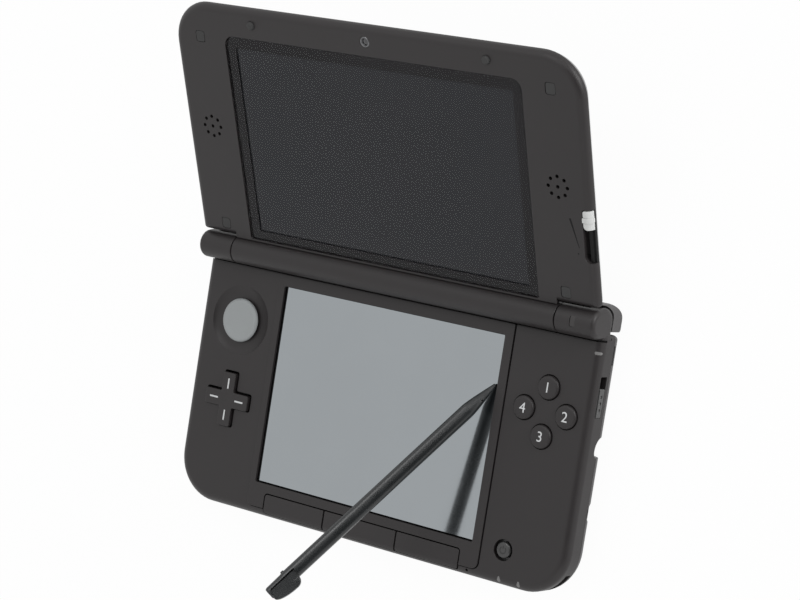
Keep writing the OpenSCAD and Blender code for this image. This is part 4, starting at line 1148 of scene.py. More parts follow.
@dataclass
class Hinge:
    """The hinge: two fixed ends on the base, and the lid's long barrel between them."""

    gap: float = 0.3
    foot: float = 3.0
    block_r: float = 4.45
    end_r: float = 1.6
    toe_r: float = 0.4
    drop: float = 7.45
    joint_r: float = 0.35
    shaft: float = 2.05
    window: Quad = (69.5, 71.3, 37.8, 41.2)
    web: Quad = (60.0, 7.7, -2.22, -0.44)
    skirt: Point = (34.99, 36.6)
    unit: float = 14.0
    unit_r: float = 3.15

    def build(self) -> None:
        """Makes both ends and the barrel."""
        for side, name in ((Side.LEFT, "left"), (Side.RIGHT, "right")):
            piece(f"hinge_block_{name}", self.end(side).on(side), SHELL, "base", "shell_top", [f"hinge_end_{name}"],
                  crease=38)
        roll = self.barrel().placed(PLAN.to_lid)
        piece("hinge_roll", roll, SHELL, "lid", "shell_top", ["hinge_barrel"], crease=38)

    def section(self, inset: float) -> np.ndarray:
        """The end block's section, seen from the side, drawn in by an inset."""
        p = PLAN
        toe = (p.hinge_y - p.barrel_r + self.toe_r + inset, self.drop + self.toe_r + inset, self.toe_r)
        return hull_ring(((p.hinge_y, p.hinge_z, p.barrel_r - inset),
                          (p.hinge_y + 0.75, self.drop + self.block_r, self.block_r - inset), toe))

    def end(self, side: Side) -> Shape:
        """One end, drawn for the right: knuckle, foot, block and the skirt before it.

        Args:
            side: The side it is for. Only the right one has a window.

        Returns:
            The solid.
        """
        p = PLAN
        rings = [(p.block_x, 0.0)] + [(p.half_w - self.end_r * (1 - math.sin(a)), self.end_r * (1 - math.cos(a)))
                  for a in quarter(12)]
        solid = loft([np.column_stack([self.section(g), np.full(96, x)]) for x, g in rings]).placed(along_x)
        r, j = p.barrel_r, self.joint_r
        roll = [(r - j * (1 - math.sin(a)), p.knuckle_x + j * (1 - math.cos(a))) for a in quarter(4)]
        roll.append((r, p.block_x + 0.5))
        knuckle = turned(roll, LARGE_CURVE).placed(along_x).moved(0, p.hinge_y, p.hinge_z)
        foot = plate(p.knuckle_x, p.block_x + 0.5, p.hinge_y - self.foot, p.hinge_y + self.foot, 0.3, p.shelf_top,
                     p.hinge_z, steps=3)
        rim = Outline.box(p.block_x, p.half_w, self.skirt[0] - 9, self.skirt[1] + 9, 0.3)
        skirt = prism(rim, rounded(self.drop, p.face, 0.1, p.rim, 12))
        skirt = skirt.common(block(p.block_x + 0.5, p.half_w + 1, *self.skirt, 0, p.face + 1))
        solid = solid.added(knuckle, foot, skirt)
        bore = rod(self.shaft, p.knuckle_x - 1, p.block_x).placed(along_x)
        x0, x1, y0, y1 = self.window
        pane = plate(x0, x1, y0, y1, 0.45, p.hinge_z + r - 0.8, p.hinge_z + 8)
        solid = solid.minus(bore.moved(0, p.hinge_y, p.hinge_z))
        return solid.minus(pane) if side is Side.RIGHT else solid

    def barrel(self) -> Shape:
        """The lid's barrel with the web that runs in between the lid's shells, in the lid's place."""
        p = PLAN
        x, r, j = p.knuckle_x - self.gap, p.barrel_r, self.joint_r
        roll = [(r - j * (1 - math.sin(a)), -x + j * (1 - math.cos(a))) for a in quarter(4)]
        roll += [(g, -z) for g, z in reversed(roll)]
        solid = turned(roll, LARGE_CURVE).placed(along_x)
        wide, deep, n0, n1 = self.web
        solid = solid.added(block(-wide, wide, 0, deep, n0, n1))
        bore = rod(self.unit_r, x - self.unit, x + 1).placed(along_x)
        return solid.minus(bore, bore.mirrored())


@dataclass
class ShoulderButtons:
    """The two shoulder buttons, which wrap the base's rear corners."""

    start: float = 46.2
    end: float = 77.25
    back: float = 45.95
    front: float = 37.5
    bottom: float = 1.5
    top: float = 13.2
    big: float = 5.2
    inner_z: float = 6.7
    inner_y: float = 45.42
    small: float = 4.0
    corner: float = 3.6
    web: float = 1.0
    web_gap: float = 1.15
    room: Point = (70, 80)
    steps: int = 128
    pin: Triple = (48.6, 40.5, 0.85)

    def build(self) -> None:
        """Makes both buttons."""
        for side, name in ((Side.LEFT, "left"), (Side.RIGHT, "right")):
            button = self.one().on(side)
            # The shoulder buttons take the lighter copy of the shell plastic: painted light
            piece(f"shoulder_button_{name[0]}", button, SHELL_SIDE_PAINTED_LIGHT, f"shoulder_{name[0]}", "key_plastic",
                  [f"shoulder_{name}"], soft=0.3, crease=40)

    def one(self) -> Shape:
        """The right button: a curved wall with a floor under the hinge."""
        back = self.back
        outer = hull_ring(((back - self.big, self.bottom + self.big, self.big), (back - 1.2, self.top - 1.2, 1.2),
                           (self.front + 1, self.bottom + 1, 1.0),
                           (self.front + 0.1, self.inner_z - 0.1, 0.1)), self.steps)
        inner = hull_ring(((self.inner_y - self.small, self.inner_z + self.small, self.small),
                           (self.inner_y - 0.2, self.top + 2, 0.2), (self.front - 3, self.inner_z + 0.2, 0.2),
                           (self.front - 3, self.top + 2, 0.2)), self.steps)
        spans = ((outer, self.start, self.end), (inner, self.start - 1, self.end + 1))
        wall, hollow = (extruded(ring, x0, x1).placed(along_x)
                        for ring, x0, x1 in spans)
        plan = prism(Outline.box(0, self.end, 0, back, 0.5, 0.5, self.corner, 0.5, steps=10), [(0, 0), (0, 30)])
        clip = block(self.start - 1, self.end + 1, self.front - 20, self.front, 0, 30)
        x, y, r = self.pin
        wall = wall.common(plan)
        tip = wall.common(block(self.end - self.web, self.end + 1, 0, 60, 0, 30))
        room = extruded(Hinge().section(-self.web_gap), *self.room).placed(along_x)
        over = block(*self.room, 0, self.inner_y - 0.1, self.top - 1.6, 40)
        tip = tip.minus(room, over)
        return wall.minus(hollow).added(tip).minus(clip, rod(r, 0, 20, 24).moved(x, y))


def new_tree(name: str, **inputs: str) -> tuple[Tree, bpy.types.NodeOutputs]:
    """A new Geometry Nodes tree.

    Args:
        name: Its name.
        **inputs: Its inputs after the geometry, with their types.

    Returns:
        The tree, and the outputs of its input node.
    """
    tree = bpy.data.node_groups.new(name, "GeometryNodeTree")
    for label, kind in {"Geometry": "Geometry", **inputs}.items():
        tree.interface.new_socket(label, in_out="INPUT", socket_type=f"NodeSocket{kind}")
    tree.interface.new_socket("Geometry", in_out="OUTPUT", socket_type="NodeSocketGeometry")
    return tree, tree.nodes.new("NodeGroupInput").outputs


def end_tree(tree: Tree, given: bpy.types.NodeOutputs, instances: Socket) -> None:
    """Ends a tree: makes its instances real and gives them the Material input."""
    real = node(tree, "GeometryNodeRealizeInstances", {0: instances}).outputs[0]
    dressed = node(tree, "GeometryNodeSetMaterial", {"Geometry": real, "Material": given["Material"]}).outputs[0]
    node(tree, "NodeGroupOutput", {0: dressed})


def dots_tree() -> Tree:
    """A Geometry Nodes tree that sets small balls in a row.

    Returns:
        The tree. Its inputs are Count, Pitch, Radius and Material.
    """
    tree, given = new_tree("row_of_dots", Count="Int", Pitch="Float", Radius="Float", Material="Material")
    offset = node(tree, "ShaderNodeCombineXYZ", {"Y": given["Pitch"]}).outputs[0]
    line = node(tree, "GeometryNodeMeshLine", {"Count": given["Count"], "Offset": offset}).outputs["Mesh"]
    ball = node(tree, "GeometryNodeMeshIcoSphere", {"Subdivisions": 3, "Radius": given["Radius"]}).outputs["Mesh"]
    end_tree(tree, given, node(tree, "GeometryNodeInstanceOnPoints", {"Points": line, "Instance": ball}).outputs[0])
    return tree


def ring_tree() -> Tree:
    """A Geometry Nodes tree that sets round pins in a ring, with one in its middle.

    Returns:
        The tree. Its inputs are Count, Ring, Radius, Depth and Material.
    """
    tree, given = new_tree("ring_of_pins", Count="Int", Ring="Float", Radius="Float", Depth="Float",
                           Material="Material")
    ring = {"Vertices": given["Count"], "Radius": given["Ring"]}
    ring = node(tree, "GeometryNodeMeshCircle", ring).outputs["Mesh"]
    pin = {"Vertices": 32, "Radius": given["Radius"], "Depth": given["Depth"]}
    pin = node(tree, "GeometryNodeMeshCylinder", pin).outputs["Mesh"]
    around = node(tree, "GeometryNodeInstanceOnPoints", {"Points": ring, "Instance": pin}).outputs[0]
    join = node(tree, "GeometryNodeJoinGeometry", {0: around})
    tree.links.new(pin, join.inputs[0])
    end_tree(tree, given, join.outputs[0])
    return tree


def grown(tree: Tree, values: dict[str, object]) -> Shape:
    """Runs a Geometry Nodes tree and reads back what it makes.

    Args:
        tree: The tree.
        values: Its inputs by name, lengths in millimetres.

    Returns:
        What it made, as a solid.
    """
    holder = linked("seed", bpy.data.meshes.new("seed"))
    step = holder.modifiers.new("grow", "NODES")
    step.node_group = tree
    for item in tree.interface.items_tree:
        if item.in_out == "INPUT" and item.name in values:
            value = values[item.name]
            step[item.identifier] = value * MM if isinstance(value, float) else value
    mesh = evaluated(holder)
    shape = Shape.of(mesh)
    holder.modifiers.clear()
    discard(holder.data, mesh)
    return shape


@dataclass
class SideControls:
    """The sliding switches in the sides and the memory card's flap."""

    depth: float = 1.2
    proud: float = 0.1
    tongue: float = 0.8
    slot_z: Point = (6.25, 9.75)
    wireless: Point = (10.9, 9.0)
    volume: Point = (22.0, 4.6)
    tongue_h: float = 2.75
    door: Quad = (5.5, 27.0, 5.9, 4.0)
    door_t: float = 1.4

    def build(self) -> None:
        """Makes the switches and the flap."""
        tree = dots_tree()
        rows = (("wireless", "wireless_switch", Side.RIGHT, self.wireless),
                ("volume", "volume_slider", Side.LEFT, self.volume))
        for name, part, side, (y, length) in rows:
            knob = self.knob(y, length, tree).on(side)
            piece(f"{name}_knob", knob, KEYCAP, name, "key_plastic", [part], soft=0.08)
        piece("memory_flap_lid", self.flap(), SHELL_SIDE_PAINTED_LIGHT, "memory_flap", "shell_top", ["memory_door"], soft=0.12)

    def knob(self, y: float, length: float, tree: Tree) -> Shape:
        """A knob in its slot, with three small dimples and a tongue behind the wall."""
        p = PLAN
        inner = p.half_w - p.wall - self.depth
        z0, z1 = self.slot_z
        y0, y1 = y + p.fit - 0.2, y + p.fit - 0.2 + length
        solid = prism(Outline.box(y0, y1, z0 + 0.2, z1 - 0.35, 0.3, steps=4),
                      [(0, inner), (0, p.half_w - 0.05), (-0.15, p.half_w + self.proud)]).placed(along_x)
        tongue = block(inner, inner + self.tongue, y0 - 1.2, y1 + 1, z0 - 0.2, z0 + self.tongue_h)
        dots = grown(tree, {"Count": 3, "Pitch": length * 0.23, "Radius": 0.5})
        dots = dots.moved(p.half_w + 0.12, (y0 + y1) / 2 - length * 0.23, (z0 + z1) / 2)
        return solid.added(tongue).minus(dots)

    def flap(self) -> Shape:
        """The flap over the memory card's slot, on its upright pin."""
        y, length, z, high = self.door
        w, t = PLAN.half_w, self.door_t
        y0, y1, z0, z1 = y - length / 2, y + length / 2, z - high / 2, z + high / 2
        leaf = block(-w, -w + t, y0, y1 - t / 2, z0, z1)
        roll = rod(t / 2, z0, z1, 32).moved(-w + t / 2, y1 - t / 2)
        pin = rod(0.4, z0 - 0.7, z1 + 0.7, 24).moved(-w + t / 2, y1 - t / 2)
        lip = block(-w - 0.5, -w + 0.35, y0 - 0.5, y0 + 1.6, z - 0.9, z + 0.9)
        return leaf.added(roll, pin).minus(lip)


@dataclass
class Stylus:
    """The stylus, standing on the lower screen on its tip, its flat thumb tab turned to the right."""

    foot: Triple = (42.24, 14.1, 12.29)
    tilt: float = math.radians(60.9)
    heading: float = math.radians(-118.6)
    roll: float = math.radians(75)
    length: float = 95.6
    half_w: float = 2.35
    half_t: float = 1.9
    tip: float = 0.55
    taper: float = 11.5
    tab: Triple = (10.6, 2.2, 2.4)
    tab_y: Point = (-0.5, 1.0)
    square: float = 2.35
    tail: tuple[Point, ...] = ((0.2, 6.4), (0.32, 0.7), (0.45, 0.25), (0.75, 0))
    vent: Triple = (0.32, 1.0, 6.2)

    @property
    def end(self) -> float:
        """The tail's height over the centre of the tip."""
        return self.length - self.tip

    def place(self, points: np.ndarray) -> np.ndarray:
        """Stands a solid drawn up from the tip in the stylus's place."""
        turn = Matrix.Rotation(self.heading, 3, "Z") @ Matrix.Rotation(self.tilt, 3, "Y")
        return points @ np.array(turn @ Matrix.Rotation(self.roll, 3, "Z")).T + np.array(self.foot)

    def section(self, a: float, b: float, z: float) -> np.ndarray:
        """A rounded section of half widths a and b at a height."""
        angles = np.arange(80) * 2 * math.pi / 80
        e = 2 / (self.square if a > 1.6 else 2.0)
        c, s = np.cos(angles), np.sin(angles)
        return np.column_stack([a * np.sign(c) * np.abs(c) ** e, b * np.sign(s) * np.abs(s) ** e, np.full(80, z)])

    def shaft(self) -> Shape:
        """The shaft, from its rounded tip through its taper to its tail."""
        t, w, h = self.tip, self.half_w, self.half_t
        rings = [self.section(t * math.cos(a) + 0.001, t * math.cos(a) + 0.001, t * math.sin(a))
                 for a in np.linspace(-1.5, 0, 8)]
        for k in range(1, 15):
            s = k / 14
            swell = 1 - (1 - s) ** 1.25
            rings.append(self.section(t + (w - t) * swell, t + (h - t) * swell, self.taper * s))
        rings += [self.section(w, h, z) for z in (self.end - 20, self.end - 7.2)]
        rings += [self.section(w - g, h - g, self.end - z) for g, z in self.tail]
        return loft(rings)

    def fin(self) -> Shape:
        """The thumb tab: a flat plate with a blunt nose that runs out towards the tail."""
        long, rise, nose = self.tab
        z0, w = self.end - long, self.half_w
        path = [(-0.4, z0)] + [(w - 0.3 + (rise + 0.3) * math.sin(a), z0 + nose * (1 - math.cos(a)))
                               for a in np.linspace(0, math.pi / 2, 10)]
        path += [(w - 0.1 + (rise + 0.1) * math.cos(a), z0 + nose + (long - nose - 0.3) * math.sin(a))
                 for a in np.linspace(0.12, math.pi / 2, 16)]
        path.append((-0.4, self.end - 0.3))
        flat = np.array(path)
        low, high = self.tab_y
        mid = flat.mean(0)
        rings = []
        for g, y in ((0.25, low), (0.05, low + 0.15), (0, low + 0.35),
                     (0, high - 0.35), (0.05, high - 0.15), (0.25, high)):
            drawn = mid + (flat - mid) * (1 - g / 4.5)
            rings.append(np.column_stack([drawn[:, 0], np.full(len(drawn), y), drawn[:, 1]]))
        shape = loft(rings)
        return Shape(shape.verts, [tuple(reversed(f)) for f in shape.faces])

    def pocket(self, x0: float, x1: float, z0: float, z1: float, y: float, radius: float) -> Shape:
        """A tool that clears the visible side of the shaft down to a depth y."""
        return plate(x0, x1, z0, z1, radius, -self.half_t - 1, -y, steps=6).placed(along_front)

    def build(self) -> None:
        """Makes the stylus: shaft, flattened grip with its slot, tab, nub and vent."""
        end, long = self.end, self.tab[0]
        solid = self.shaft().minus(self.pocket(-0.45, 4.0, end - long - 0.2, end - 0.9, self.tab_y[1] + 0.1, 0.5))
        solid = solid.added(self.fin())
        solid = solid.minus(self.pocket(-0.7, -0.25, end - long - 0.3, end - 1.3, 0.3, 0.2))
        nub = plate(-self.half_w - 0.28, -1.5, end - 8.1, end - 6.9, 0.3, -0.5, 0.5, steps=4)
        radius, x, z = self.vent
        hole = rod(radius, 0.2, 4, 24).placed(along_y).moved(x, 0, z)
        solid = solid.added(nub.placed(along_front)).minus(hole)
        piece("stylus_pen", solid.placed(self.place), PEN, "pen", "key_plastic", ["stylus"], crease=45)


@dataclass
class LidShells:
    """The two halves of the lid's housing, with the openings in its inner face."""

    wall: float = 1.5
    near: float = 1.5
    far: float = 14.0
    back_r: float = 6.0
    rim_r: float = 2.5
    ceiling: float = -0.42
    seam_gap: float = 0.03
    seam_round: float = 0.05
    tuck: float = 0.45
    neck: Triple = (63.4, 4.68, 9.35)
    window: Triple = (56.85, 5.55, 76.45)
    picture: Quad = (54.1, 54.1, 7.85, 73.17)
    speaker: Point = (66.96, 44.03)
    speaker_ring: float = 3.37
    speaker_hole: float = 0.6
    bumper: Triple = (67.0, 9.45, 75.0)
    bumper_size: Point = (3.4, 3.7)
    bumper_depth: float = 0.9
    peg: Point = (45.0, 1.4)
    eye: float = 1.8
    outer_eye: Triple = (17.5, 79.12, 3.05)
    slot_x: float = 74.8
    slot_rows: Point = (20.5, 37.75)
    web_room: tuple[float, ...] = (-60.1, 60.1, 0, 7.8, -2.32)

    def build(self) -> None:
        """Makes both shells."""
        place = PLAN.to_lid
        piece("lid_front_shell", self.inner().placed(place), SHELL, "lid", "shell_top", ["lid_inner_shell"])
        piece("lid_back_shell", self.outer().placed(place), LID_BACK, "lid", "shell_gloss", ["lid_outer_shell"])

    def outline(self, grow: float = 0.0) -> Outline:
        """The lid's outline."""
        p = PLAN
        w, near, far = p.half_w + grow, self.near + grow, self.far + grow
        return Outline.box(-w, w, p.lid_heel - grow, p.lid_far + grow, near, near, far, far, steps=12)

    def sheet(self, grow: float = 0.0) -> Outline:
        """The window's outline."""
        x, v0, v1 = self.window
        return Outline.box(-x - grow, x + grow, v0 - grow, v1 + grow, 0.8, 0.8, 3.7, 3.7, steps=8)

    def inner(self) -> Shape:
        """The inner shell."""
        p = PLAN
        part, face = p.lid_part + self.seam_gap, p.lid_face
        low = [(-self.seam_round, part), (0, part + self.seam_round)]
        solid = prism(self.outline(), low + rounded(0, face, 0, self.rim_r, 10)[1:])
        room = [(0, part - 1), (0, self.ceiling - 0.4), (-0.4, self.ceiling)]
        solid = solid.minus(prism(self.outline(-self.wall), room))
        x, v0, v1 = self.neck
        neck = prism(Outline.box(-x, x, v0, v1, 0.3, steps=3), rounded(self.ceiling, face, 0, 0.25, 3))
        solid = solid.added(neck, self.slot_bed(part, self.ceiling + 0.2))
        x0, x1, v0, v1 = self.picture
        tools = [block(*self.web_room, self.ceiling), prism(self.sheet(0.05), flared(face - 1.0, face, 0.08, 2)),
                 block(-x0, x1, v0, v1, self.ceiling - OVER, face), self.slot()]
        size = self.bumper_size
        for v in self.bumper[1:]:
            pit = Outline.box(self.bumper[0] - size[0] / 2 - 0.14, self.bumper[0] + size[0] / 2 + 0.05,
                              v - size[1] / 2 - 0.05, v + size[1] / 2 + 0.08, 0.8, steps=5)
            tools.append(prism(pit, flared(face - self.bumper_depth, face, 0.08, 2)).twice())
        tools.append(punch(self.peg[1], self.ceiling - 1, face, 0.1, 40).moved(self.peg[0], p.far_row).twice())
        tools.append(punch(self.eye, self.ceiling - 1, face, 0.1, 48).moved(0, p.far_row))
        pins = {"Count": 8, "Ring": self.speaker_ring, "Radius": self.speaker_hole, "Depth": 6.0}
        tools.append(grown(ring_tree(), pins).moved(*self.speaker, 0).twice())
        return solid.minus(*tools)

    def slot_bed(self, z0: float, z1: float) -> Shape:
        """The thick part of a shell round the depth slider's slot."""
        v0, v1 = self.slot_rows
        return block(self.slot_x - 1.6, PLAN.half_w - self.wall + 0.2, v0 - 3, v1 + 3, z0, z1)

    def slot(self) -> Shape:
        """The slot of the depth slider, with a rounded lower end, open to the side."""
        v0, v1 = self.slot_rows
        out = Outline.box(self.slot_x, PLAN.half_w + 4, v0, v1, 2.2, 0, 0, 0.6, steps=8)
        return prism(out, flared(PLAN.lid_part - OVER, PLAN.lid_face, 0.15))

    def outer(self) -> Shape:
        """The outer shell."""
        p = PLAN
        part = p.lid_part - self.seam_gap
        top = [(0, part - self.seam_round), (-self.seam_round, part)]
        solid = prism(self.outline(-self.tuck), rounded(p.lid_back, -1, self.back_r, 0, 14)[:-1] + top)
        solid = solid.minus(prism(self.outline(-self.wall), rounded(p.lid_back + self.wall, 5, 4.5, 0, 6)))
        solid = solid.added(self.slot_bed(part - 1.2, part))
        x, v, r = self.outer_eye
        return solid.minus(block(*self.web_room, 0),
                           turned([(r + 0.4, p.lid_back - 1), (r + 0.3, p.lid_back), (r, p.lid_back + 0.3),
                                   (r, p.lid_back + 4)], 48).moved(x, v).twice())


@dataclass
class LidFittings:
    """What the lid holds: its window, display, rubber pads, pegs, cameras and the depth slider."""

    picture: Quad = (53.1, 53.1, 8.65, 72.37)
    glass_t: float = 0.72
    print_t: float = 0.2
    peg_h: float = 0.9
    peg_r: float = 1.35
    knob: Point = (31.4, 37.5)
    rail: Triple = (76.2, 77.2, -0.12)
    lip: float = -0.8
    eye_ring: tuple[Point, ...] = ((1.75, 3.3), (1.75, 0.12), (1.62, 0), (1.3, 0.02), (1.15, 0.25), (1.0, 0.6),
                                   (0, 0.6))
    eye_lens: tuple[Point, ...] = ((0.98, 0.62), (0.98, 0.5), (0.7, 0.38), (0.35, 0.31), (0, 0.29))
    outer_ring: tuple[Point, ...] = ((0, 0.75), (2.0, 0.75), (2.2, 0.5), (2.45, 0.14), (2.85, 0.1), (3.0, 0.25),
                                     (3.0, 3.2))
    outer_lens: tuple[Point, ...] = ((0, 0.36), (0.8, 0.4), (1.5, 0.52), (1.98, 0.68), (1.98, 0.8))
    wedge: tuple[Point, ...] = ((70.1, 34.4), (72.93, 25.2), (73.12, 25.25), (70.75, 34.5))

    def build(self) -> None:
        """Makes the fittings."""
        self.display()
        self.pads()
        self.cameras()
        self.slider()
        self.marks()

    def add(self, name: str, shape: Shape, finish: Surface, slot: str, nodes: Sequence[str] = (),
            **kind: float) -> None:
        """Adds a piece drawn in the lid's place to the lid."""
        piece(name, shape.placed(PLAN.to_lid), finish, "lid", slot, nodes, **kind)

    def display(self) -> None:
        """The clear window, the dark border printed under it, and the display."""
        face, lid = PLAN.lid_face, LidShells()
        under = face - self.glass_t
        glass = prism(lid.sheet(-0.02), rounded(under, face, 0, 0.12, 3))
        self.add("window_glass", glass, GLASS, "window", ["screen_window"], crease=50)
        x0, x1, v0, v1 = self.picture
        hole = plate(-x0, x1, v0, v1, 0.4, -5, 5)
        sheet = prism(lid.sheet(-0.05), [(0, under - self.print_t), (0, under - 0.01)])
        self.add("window_border", sheet.minus(hole), BORDER, "window")
        top = lid.ceiling + 0.35
        slab = prism(Outline.box(-x0 - 0.9, x1 + 0.9, v0 - 0.7, v1 + 0.7, 0.6),
                     rounded(lid.ceiling - 0.1, top, 0, 0.05, 2))
        base = plate(-x0 - 2.5, x1 + 2.5, v0 - 0.6, v1 + 2.4, 1.0, lid.ceiling - 2.2, lid.ceiling - 0.02)
        self.add("display_module", slab.added(base), PICTURE_UP, "screen_upper", ["upper_lcd"])

    def pads(self) -> None:
        """Rubber pads in the corners and two pegs at the far edge, which meet the base when it is shut."""
        lid, face = LidShells(), PLAN.lid_face
        (w, h), x = lid.bumper_size, lid.bumper[0]
        pads = [prism(Outline.box(x - w / 2, x + w / 2, v - h / 2, v + h / 2, 0.8, steps=5),
                      rounded(face - lid.bumper_depth, face + 0.04, 0, 0.25, 4)) for v in lid.bumper[1:]]
        self.add("corner_pads", pads[0].plus(pads[1]).twice(), RUBBER, "soft_rubber", ["lid_bumpers"])
        r, top = self.peg_r, face + self.peg_h
        dome = [(r - 0.7 * (1 - math.cos(a)), top - 0.7 * (1 - math.sin(a))) for a in np.linspace(0, 1.35, 8)]
        peg = turned([(r, lid.ceiling)] + dome + [(0, top)], 48)
        pegs = peg.moved(lid.peg[0], PLAN.far_row).twice()
        self.add("far_pegs", pegs, RUBBER, "soft_rubber", ["lid_pegs"], crease=50)

    def cameras(self) -> None:
        """The inner camera over the window, and two outer ones in the lid's back."""
        face, back, lid = PLAN.lid_face, PLAN.lid_back, LidShells()
        ring = turned([(r, face - d) for r, d in self.eye_ring], 48)
        self.add("inner_eye_ring", ring.moved(0, PLAN.far_row), METAL_RING, "window", ["inner_camera"], crease=40)
        lens = turned([(r, face - d) for r, d in self.eye_lens], 40)
        self.add("inner_eye_lens", lens.moved(0, PLAN.far_row), LENS, "window", crease=60)
        x, v, _ = lid.outer_eye
        body = turned([(r, back + h) for r, h in self.outer_ring], 56)
        self.add("outer_eye_rings", body.moved(x, v).twice(), METAL_RING, "window", ["outer_cameras"], crease=40)
        glass = turned([(r, back + h) for r, h in self.outer_lens], 48)
        self.add("outer_eye_lenses", glass.moved(x, v).twice(), LENS, "window", crease=60)

    def slider(self) -> None:
        """The slider's pale knob over its rail."""
        lid, p = LidShells(), PLAN
        v0, v1 = self.knob
        skin, proud = (prism(lid.outline(g), rounded(p.lid_back - g, p.lid_face + g, lid.back_r, lid.rim_r, 10))
                       for g in (0.05, 0.28))
        low_band, high_band = v0 + (v1 - v0) * 0.38, v0 + (v1 - v0) * 0.64
        low = Outline.box(lid.slot_x + 0.25, p.half_w + 3, v0, v1, 1.3, 0, 0, 0.6, steps=6)
        shape = prism(low, [(0, p.lid_part + 0.15), (0, p.lid_face + 3)]).common(skin)
        band = Outline.box(lid.slot_x + 0.02, p.half_w + 0.14, low_band, high_band, 0.25, steps=3)
        band = prism(band, [(0, p.lid_part + 0.3), (0, p.lid_face + 3)]).common(proud)
        shape = shape.added(band)
        groove = [block(lid.slot_x - 1, p.half_w + 3, v - 0.09, v + 0.09, p.lid_face - 0.25, p.lid_face + 2)
                  for v in (low_band - 0.06, high_band + 0.06)]
        x0, x1, top = self.rail
        track = block(x0 - 0.1, x1 + 0.1, v0 - 5, v1 + 5, p.lid_part - OVER, top + 0.1)
        under = block(x0 - 0.1, x1 + 3, v0 - 5, v1 + 5, p.lid_part - OVER, self.lip + 0.1)
        shape = shape.minus(*groove, track, under).placed(p.to_lid)
        piece("slider_knob", shape, PALE, "depth", "pale_plastic", ["depth_slider"], soft=0.15)
        r0, r1 = lid.slot_rows[0] + 0.05, lid.slot_rows[1] - 0.05
        rail = block(x0, x1, r0, r1, p.lid_part + 0.01, top)
        rail = rail.added(block(x1 - 0.2, p.half_w - 0.12, r0, r1, p.lid_part + 0.01, self.lip))
        self.add("slider_track", rail, BLACK, "key_plastic", ["slider_rail"], soft=0.2)

    def marks(self) -> None:
        """The slider's printed wedge, and the point below it."""
        z0, z1 = PLAN.lid_face - 0.03, PLAN.lid_face + 0.012
        wedge = prism(Outline(self.wedge, (0, 0, 0, 0), 1), [(0, z0), (0, z1)])
        point = plate(72.3, 72.85, 23.0, 23.5, 0.2, z0, z1, steps=3)
        self.add("slider_marks", wedge.plus(point), DARK_INK, "window")


@dataclass
class CarriedParts:
    """CAD parts that keep their own shape and only get a finish."""

    crease: float = math.radians(28)

    def build(self) -> None:
        """Gives each its finish, and shades curved ones smoothly."""
        finishes = {
            STEEL: ("case_screws", "cover_screws", "shoulder_pins", "memory_slot", "dpad_ball", "hinge_unit_left",
                    "hinge_unit_right"),
            BOARD: ("main_board", "camera_board"),
            SILICONE: ("dpad_membrane", "button_membrane", "key_membrane"),
            BLACK: ("pad_housing", "pad_carriage", "card_slot", "charging_port", "headphone_jack", "stylus_holder",
                    "lid_speakers"),
            BORDER: ("infrared_window",),
            CELL: ("battery",),
            PICTURE_UP: ("lower_lcd",),
            SHELL_SIDE_PAINTED_LIGHT: ("battery_cover",),
        }
        tree = self.soft_tree()
        for finish, nodes in finishes.items():
            for name in nodes:
                obj = frame["nodes"][name]
                step = obj.modifiers.new("soft", "NODES")
                step.node_group = tree
                obj.data.materials.clear()
                obj.data.materials.append(finish.material())

    def soft_tree(self) -> Tree:
        """A Geometry Nodes tree that joins a CAD part's loose faces and shades it smoothly."""
        tree, given = new_tree("soft_faces")
        weld = node(tree, "GeometryNodeMergeByDistance", {"Geometry": given[0], "Distance": MERGE}).outputs[0]
        angle = node(tree, "GeometryNodeInputMeshEdgeAngle").outputs["Unsigned Angle"]
        sharp = node(tree, "FunctionNodeCompare", {0: angle, 1: self.crease}, operation="LESS_THAN").outputs[0]
        faces = node(tree, "GeometryNodeSetShadeSmooth", {0: weld}).outputs[0]
        edges = node(tree, "GeometryNodeSetShadeSmooth", {0: faces, "Shade Smooth": sharp}, domain="EDGE")
        node(tree, "NodeGroupOutput", {0: edges.outputs[0]})
        return tree


